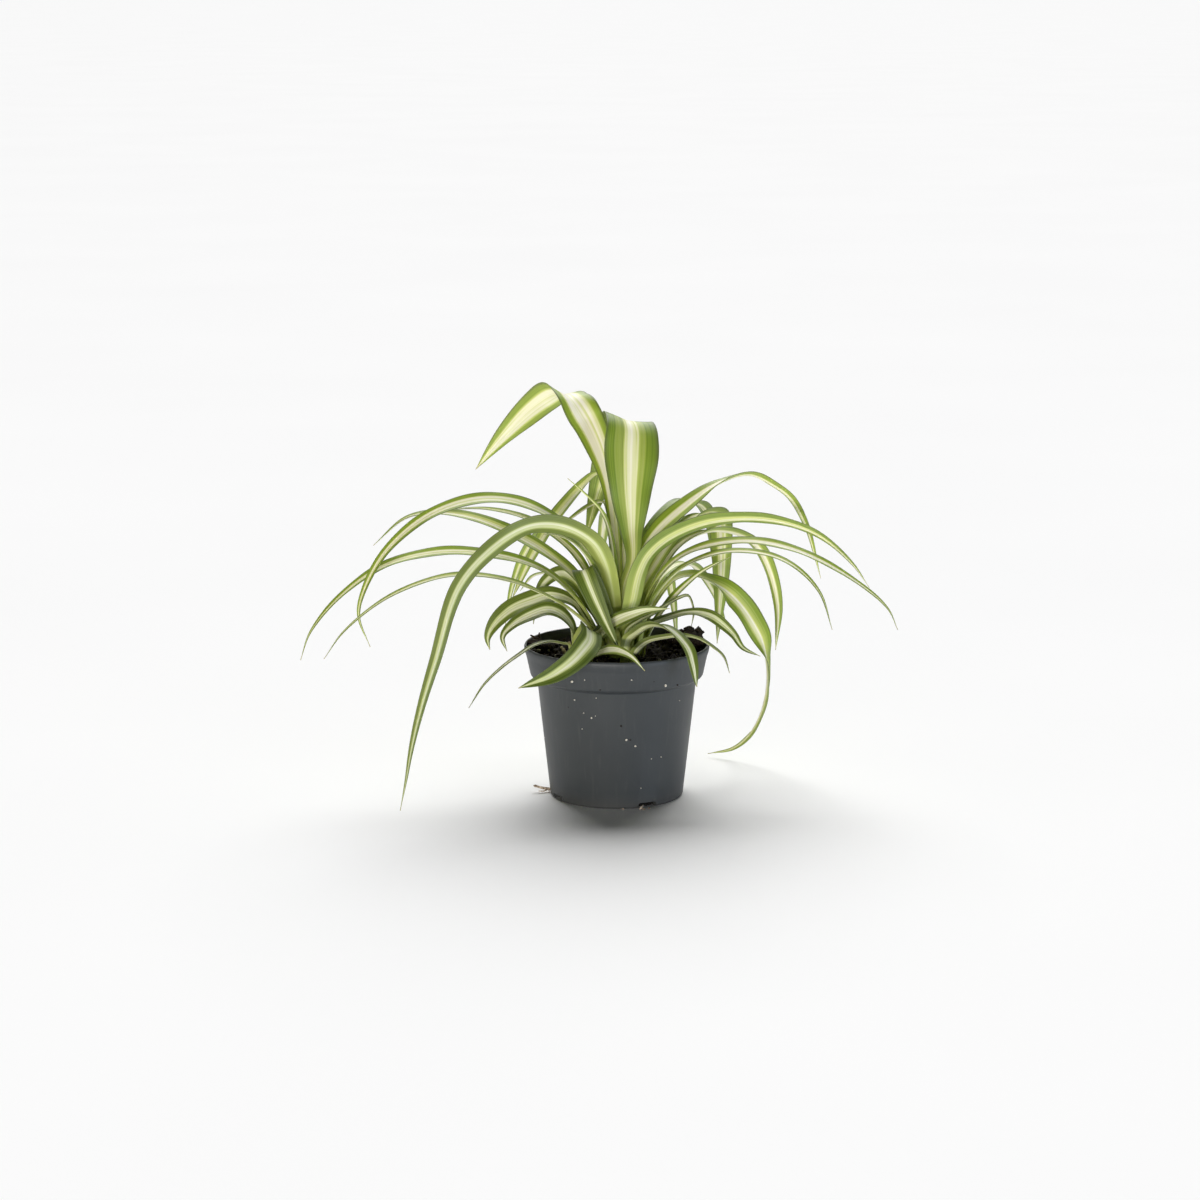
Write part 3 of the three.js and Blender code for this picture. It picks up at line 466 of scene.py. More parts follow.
def capped_faces(rows, sides, flip=False):
    """Faces of a closed body of rings, with a point on the axis before them and one after."""
    faces = grid_faces(rows, sides, 1, closed=True, flip=flip)
    last = 1 + (rows - 1) * sides
    for side in range(sides):
        a, b = side, (side + 1) % sides
        if flip:
            a, b = b, a
        faces.append((0, 1 + b, 1 + a))
        faces.append((last + sides, last + a, last + b))
    return faces


def turned(profile, sides):
    """Points and faces of a profile of radius and height turned round the upright axis.
    The profile starts and ends on the axis."""
    verts = [(0, 0, profile[0][1])]
    for radius, height in profile[1:-1]:
        verts += ring_points(radius, height, sides)
    verts.append((0, 0, profile[-1][1]))
    return verts, capped_faces(len(profile) - 2, sides)


def filleted(profile, radius, steps=3):
    """Round each inner corner of a profile, by no more than a third of the sides beside it."""
    points = [np.array(point, float) for point in profile]
    rounded = [points[0]]
    for before, here, after in zip(points, points[1:], points[2:]):
        reach = min(radius, np.linalg.norm(before - here) / 3, np.linalg.norm(after - here) / 3)
        start = here + (before - here) / np.linalg.norm(before - here) * reach
        end = here + (after - here) / np.linalg.norm(after - here) * reach
        for share in np.linspace(0, 1, steps):
            rounded.append((1 - share) ** 2 * start + 2 * share * (1 - share) * here + share ** 2 * end)
    rounded.append(points[-1])
    return [tuple(point) for point in rounded]


def lump(rng, centre, radius, squash=0.75, detail=2):
    """Points and faces of one irregular crumb."""
    ball = bmesh.new()
    bmesh.ops.create_icosphere(ball, subdivisions=detail, radius=1)
    offset = Vector((rng.uniform(0, 50), rng.uniform(0, 50), rng.uniform(0, 50)))
    turn = rng.uniform(0, math.tau)
    stretch = (rng.uniform(0.7, 1.3), rng.uniform(0.7, 1.3), squash * rng.uniform(0.8, 1.2))
    verts = []
    for vert in ball.verts:
        size = radius * (1 + 0.45 * noise.noise(vert.co * 1.3 + offset)
                         + 0.2 * noise.noise(vert.co * 3.1 + offset))
        x, y, z = (vert.co[k] * stretch[k] * size for k in range(3))
        verts.append((centre[0] + x * math.cos(turn) - y * math.sin(turn),
                      centre[1] + x * math.sin(turn) + y * math.cos(turn), centre[2] + z))
    faces = [tuple(v.index for v in face.verts) for face in ball.faces]
    ball.free()
    return verts, faces


def tube(points, radii, sides=7):
    """Points and faces of a closed tube along some points, with a radius at each."""
    verts, faces = [], []
    points = [Vector(point) for point in points]
    for i, point in enumerate(points):
        along = (points[min(i + 1, len(points) - 1)] - points[max(i - 1, 0)]).normalized()
        side = along.cross(Vector((0.31, 0.17, 0.93))).normalized()
        up = side.cross(along)
        for k in range(sides):
            angle = math.tau * k / sides
            verts.append(tuple(point + radii[i] * (side * math.cos(angle) + up * math.sin(angle))))
    faces += grid_faces(len(points), sides, closed=True, flip=True)
    faces.append(tuple(range(sides)))
    faces.append(tuple(range(len(verts) - 1, len(verts) - sides - 1, -1)))
    return verts, faces


def joined(parts):
    """One list of points and one of faces from many."""
    verts, faces = [], []
    for some_verts, some_faces in parts:
        start = len(verts)
        verts += some_verts
        faces += [tuple(start + i for i in face) for face in some_faces]
    return verts, faces


def add_scatter(name, parts, material):
    """Make one piece of many small bodies."""
    verts, faces = joined(parts)
    add_piece(name, verts, faces, material)


# ---------------------------------------------------------------- pot and soil

def inner_radius(height):
    """Radius of the pot's inside at a height."""
    top = (POT_HIGH.x / MM - LIP_FLARE, POT_HIGH.z / MM - LIP_DEPTH)
    low, high = (POT_BASE, POT_SHOULDER) if height < POT_BAND[1] else (POT_BAND, top)
    share = (height - low[1]) / (high[1] - low[1])
    return low[0] + (high[0] - low[0]) * share - POT_WALL


SOIL_REACH = inner_radius(SOIL_LEVEL) - 1.5  # how far out loose bits lie
FIBRE_POINTS = 7


def pot_profile(rim, top):
    """The pot's section, from the middle of its underside round to the middle of its floor."""
    floor_top, lip = CHANNEL_RISE + POT_WALL, top - LIP_DEPTH
    inside_band = POT_BAND[1] + POT_WALL / 2
    return [
        (0, 0), (FOOT_DISC, 0), (CHANNEL_INNER, CHANNEL_RISE), (CHANNEL_OUTER, CHANNEL_RISE),
        (FOOT_RING, 0), (POT_BASE[0] - 0.9, 0), (POT_BASE[0], 0.9), POT_SHOULDER,
        (POT_BAND[0] - 0.5, POT_BAND[1] - 0.9),
        POT_BAND, (rim - LIP_FLARE, lip), (rim - 0.2, lip + 3), (rim, top - 1.2), (rim - 0.5, top),
        (rim - POT_WALL - 0.2, top - 0.1), (rim - POT_WALL - 0.6, lip + 3), (inner_radius(lip), lip),
        (inner_radius(inside_band), inside_band), (POT_SHOULDER[0] - POT_WALL, POT_SHOULDER[1] + 0.5),
        (inner_radius(floor_top + 1.5), floor_top + 1.5), (inner_radius(floor_top) - 1.6, floor_top),
        (CHANNEL_INNER - 1, floor_top), (FOOT_DISC - 1, POT_WALL), (0, POT_WALL)]


def cut(piece, cutters):
    """Take closed shapes out of a piece, and keep the result as its own mesh."""
    mesh = new_mesh("cutters", *joined(cutters))
    tool = bpy.data.objects.new("cutters", mesh)
    bpy.context.collection.objects.link(tool)
    modifier = piece.modifiers.new("cut", "BOOLEAN")
    modifier.operation, modifier.solver, modifier.object = "DIFFERENCE", "EXACT", tool
    evaluated = piece.evaluated_get(bpy.context.evaluated_depsgraph_get())
    result = bpy.data.meshes.new_from_object(evaluated)
    piece.modifiers.clear()
    piece.data = result
    bpy.data.objects.remove(tool)
    bpy.data.meshes.remove(mesh)


def foot_cutters():
    """Arches through the pot's foot ring, and round drain holes between them."""
    shapes = []
    for i in range(HOLES):
        angle = math.radians(FIRST_ARCH + 360 / HOLES * i)
        out = Vector((math.cos(angle), math.sin(angle), 0))
        side = Vector((-math.sin(angle), math.cos(angle), 0))
        half = ARCH_WIDTH / 2
        outline = [(-half, -2), (half, -2), (half, ARCH_HEIGHT - 1), (half - 0.3, ARCH_HEIGHT - 0.3),
                   (half - 1, ARCH_HEIGHT), (1 - half, ARCH_HEIGHT), (0.3 - half, ARCH_HEIGHT - 0.3),
                   (-half, ARCH_HEIGHT - 1)]
        verts = [tuple(out * reach + side * s + Vector((0, 0, z)))
                 for reach in (POT_BASE[0] - 4.5, POT_BASE[0] + 4.5) for s, z in outline]
        count = len(outline)
        faces = grid_faces(2, count, closed=True)
        faces += [tuple(range(count))[::-1], tuple(range(count, 2 * count))]
        shapes.append((verts, faces))
        between = angle + math.pi / HOLES
        x, y = HOLE_CIRCLE * math.cos(between), HOLE_CIRCLE * math.sin(between)
        rod = turned([(0, -2), (HOLE_RADIUS, -2), (HOLE_RADIUS, 7), (0, 7)], 32)
        shapes.append(([(x + px, y + py, pz) for px, py, pz in rod[0]], rod[1]))
    return shapes


def soil_height(x, y):
    """Height of the soil's top: waves of different lengths, heaped at two places by the wall."""
    lumps = (math.sin(x * 0.31 + 1.3) * math.sin(y * 0.27 - 0.4)
             + 0.6 * math.sin(x * 0.83 - y * 0.61) + 0.5 * math.sin(x * 0.47 + y * 0.93 + 2.1))
    rise = SOIL_RIM_RISE * smooth((math.hypot(x, y) - 30) / 18)
    heaped = sum(high * math.exp(-((x - hx) ** 2 + (y - hy) ** 2) / spread)
                 for hx, hy, high, spread in HEAPS)
    return SOIL_LEVEL + SOIL_RELIEF * lumps + rise + heaped


def in_crown(x, y, margin):
    """Whether a spot is inside a crown or within a margin of it."""
    return any(math.hypot(x - cx, y - cy) < crown_radius(rings) + margin
               for cx, cy, rings in ROSETTES.values())


def soil_mesh(rings, sides):
    """The soil as one closed body: a crumbly top, and a side that follows the pot's inside."""
    edge = inner_radius(SOIL_LEVEL + SOIL_RIM_RISE) - SOIL_GAP
    verts = [(0, 0, soil_height(0, 0))]
    for ring in range(1, rings + 1):
        for x, y, _ in ring_points(edge * (ring / rings) ** 0.9, 0, sides):
            crumbs = 0.9 * noise.fractal(Vector((x, y, 4.0)) * 0.35, 0.7, 2.1, 5)
            crumbs += 0.5 * noise.noise(Vector((x, y, 9.0)) * 1.1)
            hollow = 2.2 if in_crown(x, y, 0.3) else 0.0
            verts.append((x, y, soil_height(x, y) + crumbs - hollow))
    in_band, corner = POT_BAND[1] + POT_WALL, SOIL_FLOOR + 2
    side_heights = (in_band, POT_SHOULDER[1], corner, SOIL_FLOOR)
    for height, gap in zip(side_heights, (SOIL_GAP, SOIL_GAP, SOIL_GAP, 2.5)):
        verts += ring_points(inner_radius(height) - gap, height, sides)
    verts.append((0, 0, SOIL_FLOOR))
    return verts, capped_faces(rings + len(side_heights), sides, flip=True)


def open_spot(rng, margin):
    """A random spot on the soil, clear of the crowns."""
    while True:
        radius, angle = SOIL_REACH * math.sqrt(rng.random()), rng.uniform(0, math.tau)
        x, y = radius * math.cos(angle), radius * math.sin(angle)
        if not in_crown(x, y, margin):
            return x, y, soil_height(x, y)


def strewn_crumbs(rng, count, largest):
    """Crumbs all over the soil, most of them small."""
    crumbs = []
    for _ in range(count):
        x, y, z = open_spot(rng, 0.6)
        size = largest * (0.22 + 0.78 * rng.random() ** 2.5)
        crumbs.append(lump(rng, (x, y, z + 0.35 * size), size, 0.8, 2 if size > 0.8 else 1))
    return crumbs


def heaped_crumbs(rng):
    """Coarse crumbs on the heaps, and a pile that leans on the rim at the right rear."""
    crumbs = []
    for hx, hy, high, _ in HEAPS:
        for _ in range(HEAP_CRUMBS):
            x, y = rng.gauss(hx * 1.08, HEAP_SPREAD), rng.gauss(hy, HEAP_SPREAD)
            if math.hypot(x, y) < SOIL_REACH:
                size = rng.uniform(0.7, 2.5)
                z = soil_height(x, y) + rng.uniform(0, high * 0.7)
                crumbs.append(lump(rng, (x, y, z), size, 0.9))
    for _ in range(PILE_CRUMBS):
        angle, radius = rng.uniform(*PILE_ANGLES), rng.uniform(*PILE_REACH)
        x, y, size = radius * math.cos(angle), radius * math.sin(angle), rng.uniform(0.8, 2.2)
        pile = PILE_HEIGHT * math.sin((angle + 0.1) * 4) * smooth((radius - 36) / 10)
        crumbs.append(lump(rng, (x, y, soil_height(x, y) + rng.random() * max(0, pile)), size, 0.9))
    return crumbs


def strewn_perlite(rng, count):
    """White grains that lie on the soil."""
    grains = []
    for _ in range(count):
        x, y, z = open_spot(rng, 1.5)
        size = rng.uniform(0.35, 1.15)
        grains.append(lump(rng, (x, y, z + 0.8 + 0.4 * size), size, 0.85))
    return grains


def fibre(rng):
    """One bent thread of root or peat, which rests its ends on the soil."""
    x, y, _ = open_spot(rng, 1.0)
    heading, length, bend = rng.uniform(0, math.tau), rng.uniform(3, 9), rng.uniform(-0.6, 0.6)
    points = []
    for k in range(FIBRE_POINTS):
        s = k / (FIBRE_POINTS - 1) - 0.5
        angle = heading + bend * s
        px, py = x + length * s * math.cos(angle), y + length * s * math.sin(angle)
        inside = min(1.0, SOIL_REACH / max(math.hypot(px, py), 1e-6))
        px, py = px * inside, py * inside
        points.append((px, py, soil_height(px, py) + 0.9 + 1.3 * (0.25 - s * s)))
    thick = rng.uniform(0.12, 0.3)
    radii = [thick * (1 - 0.6 * abs(2 * k / (FIBRE_POINTS - 1) - 1)) for k in range(FIBRE_POINTS)]
    return tube(points, radii, 6)


# ---------------------------------------------------------------- leaves

def ring_radius(ring):
    """Distance of a ring of sheaths from the middle of its crown."""
    return CROWN_INNER + RING_STEP * ring


def crown_radius(rings):
    return ring_radius(rings - 1) + CROWN_MARGIN


def crown_top(rings, radius):
    """Height of a crown's cone, which the sheaths stand on."""
    return SOIL_LEVEL - CROWN_SINK + CROWN_COLLAR + CONE_RISE * (1 - radius / crown_radius(rings))


def even_curve(points, count):
    """Points at even steps along a centripetal Catmull-Rom curve, and the curve's length."""
    points = np.array(points, float)
    padded = np.vstack([2 * points[0] - points[1], points, 2 * points[-1] - points[-2]])
    dense = []
    for x0, x1, x2, x3 in zip(padded, padded[1:], padded[2:], padded[3:]):
        d0, d1, d2 = (np.linalg.norm(b - a) ** 0.5 for a, b in ((x0, x1), (x1, x2), (x2, x3)))
        start = ((x1 - x0) / d0 - (x2 - x0) / (d0 + d1) + (x2 - x1) / d1) * d1
        end = ((x2 - x1) / d1 - (x3 - x1) / (d1 + d2) + (x3 - x2) / d2) * d1
        for w in np.linspace(0, 1, 30, endpoint=False):
            dense.append(x1 + start * w + (3 * (x2 - x1) - 2 * start - end) * w * w
                         + (2 * (x1 - x2) + start + end) * w ** 3)
    dense = np.array(dense + [points[-1]])
    lengths = np.concatenate([[0], np.cumsum(np.linalg.norm(np.diff(dense, axis=0), axis=1))])
    even = np.linspace(0, lengths[-1], count)
    return np.stack([np.interp(even, lengths, dense[:, k]) for k in range(3)], axis=1), lengths[-1]


def staged(stages, share):
    """A value at a share of the leaf's length, from its list of stages."""
    place = share * (len(stages) - 1)
    index = min(int(place), len(stages) - 2)
    return stages[index] + (stages[index + 1] - stages[index]) * smooth(place - index)


def blade_width(leaf, share, tip):
    """Width of a blade at a share of its length."""
    base, neck, width = min(BLADE_BASE, leaf["width"] * 0.9), leaf.get("neck", 0), leaf["width"]
    rise = base + (width - base) * smooth((share - neck) / (leaf["swell"] - neck))
    beyond = max(0.0, (share - leaf["swell"]) / (1 - leaf["swell"]))
    return max(tip, rise * (1 - beyond ** leaf["taper"]))


def midrib(rosette, leaf, step):
    """Even points from the foot of a leaf's sheath to its tip, and the length along them."""
    *centre, rings = ROSETTES[rosette]
    radius = ring_radius(leaf["ring"])
    low = crown_top(rings, radius) + SOLID_THICKNESS
    root, lean = leaf.get("root", leaf["heading"]), 0.9 + 0.2 * leaf["ring"]
    sheath = ((radius, low), (radius + 0.3, low + SHEATH_STEPS[0]), (radius + lean, low + SHEATH_STEPS[1]))
    points = [bearing(root, *point, centre=centre) for point in sheath]
    points += [bearing(leaf["heading"], *point, centre=centre) for point in leaf["route"]]
    rows = LEAST_ROWS + int(sum(math.dist(a, b) for a, b in zip(points, points[1:])) / step)
    return even_curve(points, rows)


def blade_section(leaf, share, length, u, waves, settings):
    """How far one cross-section's points lie to the right of the midrib and above it: curled
    round the crown in the sheath, then a shallow channel that waves a little at its edges."""
    radius = ring_radius(leaf["ring"])
    half = blade_width(leaf, share, settings.tip_width / MM) / 2
    curl = min(half / radius, math.radians(MOST_CURL))
    opened = smooth(share * length / SHEATH_LENGTH)
    fold = math.radians(leaf.get("fold", math.degrees(settings.fold)))
    reach = (1 - opened) * radius * np.sin(u * curl) + opened * half * math.cos(fold) * u
    bowl = np.sqrt(u * u + CHANNEL_ROUND) - math.sqrt(CHANNEL_ROUND)
    lift = (1 - opened) * radius * (1 - np.cos(u * curl)) + opened * half * math.sin(fold) * bowl
    wave_length, wave_height, phases = waves
    for hand, phase in zip((-1, 1), phases):
        edge = np.clip(u * hand, 0, 1) ** 3
        lift = lift + edge * opened * half * 2 * wave_height * math.sin(
            math.tau * share * length / wave_length + phase)
    return reach, lift


def blade_depths(share, u, settings):
    """How far the two faces lie from the middle of the blade, with the keel on the lower one."""
    fade = 0.35 + 0.65 * smooth((1 - share) * 9)
    thin = settings.edge_thickness / MM
    thin += (settings.blade_thickness - settings.edge_thickness) / MM * (1 - u ** 4)
    keel = KEEL_DEPTH * np.exp(-(u / KEEL_WIDTH) ** 2)
    return thin * fade / 2, (thin / 2 + keel) * fade


def blade_faces(rows, columns):
    """Faces of a closed blade: its top, its underside, its two edges and its two ends."""
    under = rows * columns
    faces = grid_faces(rows, columns) + grid_faces(rows, columns, under, flip=True)
    for i in range(rows - 1):
        a, b = i * columns, i * columns + columns - 1
        faces.append((a, a + columns, under + a + columns, under + a))
        faces.append((b, under + b, under + b + columns, b + columns))
    for j in range(columns - 1):
        end = (rows - 1) * columns + j
        faces.append((j, under + j, under + j + 1, j + 1))
        faces.append((end, end + 1, under + end + 1, under + end))
    return faces


def blade_mesh(rosette, leaf, seed, settings):
    """A closed thin blade along its midrib, with what its material needs at each point."""
    curve, length = midrib(rosette, leaf, settings.leaf_step / MM)
    rows, columns = len(curve), settings.leaf_columns
    tangents = np.gradient(curve, axis=0)
    tangents /= np.linalg.norm(tangents, axis=1)[:, None]
    rng = random.Random(seed)
    waves = (rng.uniform(*WAVE_LENGTHS), rng.uniform(*WAVE_HEIGHTS),
             [rng.uniform(0, math.tau) for _ in range(2)])
    u = np.sin(np.linspace(-1, 1, columns) * math.pi / 2 * EDGE_CROWDING)
    u /= math.sin(math.pi / 2 * EDGE_CROWDING)
    root = math.radians(leaf.get("root", leaf["heading"]))
    across = np.array([math.sin(root), -math.cos(root), 0.0])
    top, bottom = [], []
    for i, (point, along) in enumerate(zip(curve, tangents)):
        share = i / (rows - 1)
        across = across - along * (across @ along)
        across /= np.linalg.norm(across)
        face = np.cross(across, along)
        roll = math.radians(staged(leaf["roll"], share)) if "roll" in leaf else 0.0
        right = across * math.cos(roll) + face * math.sin(roll)
        up = face * math.cos(roll) - across * math.sin(roll)
        reach, lift = blade_section(leaf, share, length, u, waves, settings)
        slope_r, slope_l = np.gradient(reach), np.gradient(lift)
        size = np.hypot(slope_r, slope_l)
        normal = np.outer(slope_r / size, up) - np.outer(slope_l / size, right)
        line = point + np.outer(reach, right) + np.outer(lift, up)
        above, below = blade_depths(share, u, settings)
        top.append(line + normal * above[:, None])
        bottom.append(line - normal * below[:, None])
    verts = np.concatenate(top + bottom)
    attributes = {
        "across": np.tile(u, rows * 2),
        "along": np.tile(np.repeat(np.linspace(0, 1, rows), columns), 2),
        "under": np.repeat([0.0, 1.0], rows * columns),
        "seed": np.full(len(verts), seed * SEED_STEP)}
    for word in ("stripe", "lines", "tone"):
        attributes[word] = np.full(len(verts), leaf[word])
    return verts.tolist(), blade_faces(rows, columns), attributes


# ---------------------------------------------------------------- settings

class PotSettings(bpy.types.PropertyGroup):
    rim_radius: FloatProperty(
        name="Rim radius", description="Outer radius of the rim", default=POT_HIGH.x, unit="LENGTH")
    height: FloatProperty(
        name="Height", description="Height of the rim above the foot", default=POT_HIGH.z, unit="LENGTH")
    sides: IntProperty(name="Sides", description="Steps round the pot", default=160, min=24)
    colour: FloatVectorProperty(
        name="Plastic", description="Colour of the moulded plastic", default=linear("#2e3235"), size=4,
        subtype="COLOR", min=0, max=1)


class SoilSettings(bpy.types.PropertyGroup):
    crumbs: IntProperty(name="Crumbs", description="Loose crumbs of peat on top", default=620, min=0)
    perlite: IntProperty(name="Perlite", description="White grains among the crumbs", default=46, min=0)
    fibres: IntProperty(name="Fibres", description="Fine roots and peat fibres on top", default=70, min=0)
    crumb_size: FloatProperty(
        name="Crumb size", description="Radius of the largest crumbs", default=1.7 * MM, unit="LENGTH")


class LeafSettings(bpy.types.PropertyGroup):
    blade_thickness: FloatProperty(
        name="Blade thickness", description="Thickness of a blade beside its keel", default=0.46 * MM,
        unit="LENGTH")
    edge_thickness: FloatProperty(
        name="Edge thickness", description="Thickness of a blade at its edges", default=0.26 * MM,
        unit="LENGTH")
    tip_width: FloatProperty(
        name="Tip width", description="Width of the point of a blade", default=0.4 * MM, unit="LENGTH")
    fold: FloatProperty(
        name="Fold", description="How far each half of a blade rises from its midrib",
        default=math.radians(18), subtype="ANGLE")
    leaf_step: FloatProperty(
        name="Step", description="Distance between cross-sections", default=2.4 * MM, unit="LENGTH")
    leaf_columns: IntProperty(name="Columns", description="Points across a blade", default=15, min=5)


class StageSettings(bpy.types.PropertyGroup):
    floor_size: FloatProperty(name="Floor", description="Width of the floor", default=120, unit="LENGTH")
    key_power: FloatProperty(
        name="Key light", description="Power of the main soft light", default=225, unit="POWER")
    overhead: FloatProperty(
        name="Overhead light", description="Strength of the wide light above and behind", default=3.85)
    lens: FloatProperty(name="Lens", description="Focal length of the camera", default=95.67, unit="CAMERA")


# ---------------------------------------------------------------- operators

class MakePot(bpy.types.Operator):
    """Build the plastic pot, with its rim band, foot arches and drain holes"""
    bl_idname = "spider_plant.pot"
    bl_label = "Pot"

    def execute(self, context):
        settings = context.scene.spider_pot
        rim, top = settings.rim_radius / MM, settings.height / MM
        verts, faces = turned(filleted(pot_profile(rim, top), CORNER_RADIUS), settings.sides)
        plastic = moulded_polypropylene("moulded_polypropylene", settings.colour)
        pot = add_piece("grower_pot", verts, faces, plastic, ["pot"])
        cut(pot, foot_cutters())
        pot.data.set_sharp_from_angle(angle=math.radians(SHARP_ANGLE))
        if len(pot.data.polygons) in (0, len(faces)):
            raise RuntimeError("the pot's foot was not cut")
        return {"FINISHED"}


class MakeSpecks(bpy.types.Operator):
    """Stick the grains of perlite and the bits of soil to the pot's wall, and a root in its foot"""
    bl_idname = "spider_plant.specks"
    bl_label = "Specks on the pot"

    # Angle round the pot in degrees, height and radius in millimetres.
    WHITE = [(-120, 74.5, 0.8), (-111, 76.2, 0.4), (-81, 76.9, 0.45), (-57, 71.9, 0.9), (-80, 69.4, 0.4),
             (-105, 65.2, 0.35), (-122, 62.9, 0.4), (-115, 55.9, 0.4), (-109, 53.4, 0.5), (-106, 54.7, 0.3),
             (-117, 46.4, 0.35), (-83, 41, 0.55), (-76, 37.2, 0.55), (-62, 28.7, 0.35), (-53, 28.9, 0.35),
             (-38, 60, 0.3), (-70, 12, 0.3), (150, 66, 0.5), (97, 73, 0.6), (74, 50, 0.4), (20, 40, 0.4),
             (-170, 34, 0.35), (128, 24, 0.4)]
    DARK = [(-47, 71, 0.5), (-87, 49.2, 0.6), (-80, 40.9, 0.45), (-101, 70.9, 0.4), (-66, 75, 0.3),
            (-128, 58, 0.3), (110, 60, 0.5), (40, 71, 0.5), (170, 50, 0.35)]

    def execute(self, context):
        rng = random.Random(11)
        for name, rows, material in (
                ("perlite_on_pot", self.WHITE,
                 rough_matter("expanded_perlite", "#e9e4d8", "#b9b2a2", 0.5, 0.08)),
                ("peat_on_pot", self.DARK, rough_matter("peat_bits", "#2e241c", "#15100c", 0.5, 0.08))):
            parts = []
            for degrees, height, radius in rows:
                wall = inner_radius(height) + POT_WALL
                if POT_SHOULDER[1] < height < POT_BAND[1]:
                    wall = POT_SHOULDER[0] + 1.5
                parts.append(lump(rng, bearing(degrees, wall, height), radius, 0.9))
            add_scatter(name, parts, material)
        root = rough_matter("dry_root", "#d9cbb8", "#6a5747", 1.8, 0.08)
        parts = [tube([(-33, 1.5, 2.4), (-38, 1, 1.6), (-42, 0.5, 2.4), (-46, 0.8, 3.4)],
                      [1.0, 0.95, 0.8, 0.6]),
                 tube([(-39, 1, 1.8), (-41.5, -1.5, 1.1), (-44.5, -2.4, 1.4)], [0.5, 0.4, 0.25]),
                 lump(rng, (-46.4, 0.8, 3.6), 1.0), lump(rng, (-38.6, 1.8, 1.2), 0.9),
                 tube([(14.8, -36.6, 2.1), (13.3, -38.3, 1.2), (12.7, -39.6, 0.45)], [0.5, 0.42, 0.3]),
                 tube([(13.3, -38.3, 1.2), (14.6, -39, 0.7), (15.8, -39.2, 0.4)], [0.4, 0.34, 0.25]),
                 lump(rng, (18, -37.2, 0.6), 0.6), lump(rng, (3.5, -38.6, 0.5), 0.75)]
        add_scatter("root_in_foot", parts, root)

        # Near-black clods fill the front arch of the foot: painted shade, dark bodies put where the arch's
        # opening lies in shadow.
        clods = []
        for _ in range(FOOT_CLODS):
            out, side = rng.uniform(*CLOD_REACH), rng.uniform(-CLOD_SIDE, CLOD_SIDE)
            place = bearing(FIRST_ARCH, out, rng.uniform(*CLOD_UP), side)
            clods.append(lump(rng, place, rng.uniform(0.5, 0.85), 0.9, 1))
        add_scatter("arch_shade_clods", clods, rough_matter("arch_shade_peat", "#1b1511", "#080605", 0.5, 0.1))
        return {"FINISHED"}


class MakeSoil(bpy.types.Operator):
    """Build the soil, and strew crumbs of peat, grains of perlite and fibres over it"""
    bl_idname = "spider_plant.soil"
    bl_label = "Soil"

    # Forked bits of bark that stand out of the heaps by the rim: points and the radius at each.
    BARK = [([(32, 22, 83), (37, 24, 87), (43, 25, 88.6), (48.5, 26, 90)], [2.2, 1.8, 1.1, 0.5]),
            ([(38, 24, 87), (41, 22, 90), (44, 21.4, 91.6)], [1.3, 0.8, 0.35]),
            ([(30, 20, 84), (31, 19.5, 88), (33, 19, 90.5)], [1.8, 1.3, 0.5]),
            ([(-42, 7, 83), (-45, 7, 88), (-49, 6.5, 90.4)], [1.6, 1.2, 0.4]),
            ([(-43, 11, 84), (-44.5, 11, 88.4), (-44, 10.6, 91)], [1.4, 0.9, 0.35])]

    def execute(self, context):
        settings = context.scene.spider_soil
        peat = rough_matter("peat_compost", "#2c2119", "#0c0907", 1.6, 0.5)
        verts, faces = soil_mesh(SOIL_RINGS, SOIL_SIDES)
        add_piece("peat_soil", verts, faces, peat, ["soil"])
        rng = random.Random(5)
        crumbs = strewn_crumbs(rng, settings.crumbs, settings.crumb_size / MM) + heaped_crumbs(rng)
        add_scatter("peat_crumbs", crumbs, rough_matter("crumbled_peat", "#35291f", "#100c09", 0.9, 0.25))
        perlite = rough_matter("perlite_in_soil", "#d9d2c2", "#97907f", 0.5, 0.1)
        add_scatter("perlite_grains", strewn_perlite(rng, settings.perlite), perlite)
        threads = [fibre(rng) for _ in range(settings.fibres)]
        threads += [tube(points, radii) for points, radii in self.BARK]
        add_scatter("peat_fibres", threads, rough_matter("peat_fibre", "#4d3b2c", "#1b130e", 0.6, 0.1))
        return {"FINISHED"}


class MakeCrowns(bpy.types.Operator):
    """Give the crowns their stem tissue, and set old cut leaf stubs round the left one"""
    bl_idname = "spider_plant.crowns"
    bl_label = "Crowns"

    # Heading of each stub round the left crown in degrees, then its height and lean.
    STUBS = ((128, 9, 2.5), (158, 7, 3.5), (205, 8, 2.2), (60, 6, 2.8))

    def execute(self, context):
        # Pale fleshy stem, ringed by leaf scars: smooth and a little damp.
        stem = rough_matter("fleshy_stem", "#d5da9f", "#a7b070", 2.2, 0.2, 0.55)
        for key in ROSETTES:
            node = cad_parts[f"crown_{key}"]
            node.data.materials.clear()
            node.data.materials.append(stem)
        stub = rough_matter("dry_leaf_stub", "#cfc6a4", "#8a7a55", 1.4, 0.2, 0.8)
        *centre, rings = ROSETTES["left"]
        radius = crown_radius(rings) + 1.6
        parts = []
        for degrees, height, lean in self.STUBS:
            foot = bearing(degrees, radius, SOIL_LEVEL - 1, centre=centre)
            top = bearing(degrees, radius + lean, SOIL_LEVEL + height, centre=centre)
            middle = tuple((p + q) / 2 + 0.4 for p, q in zip(foot, top))
            parts.append(tube([foot, middle, top], [1.4, 1.1, 0.7], 9))
        add_scatter("old_stubs", parts, stub)
        return {"FINISHED"}


def dark_leaf(name):
    """The leaf material of the two small plants, and a dimmer copy of the leaf colours that paints shade on
    the main plant's darker leaves.
    """
    return striped_leaf(name, "#96a747", "#465617", "#e6e6cc", "#b9c374")


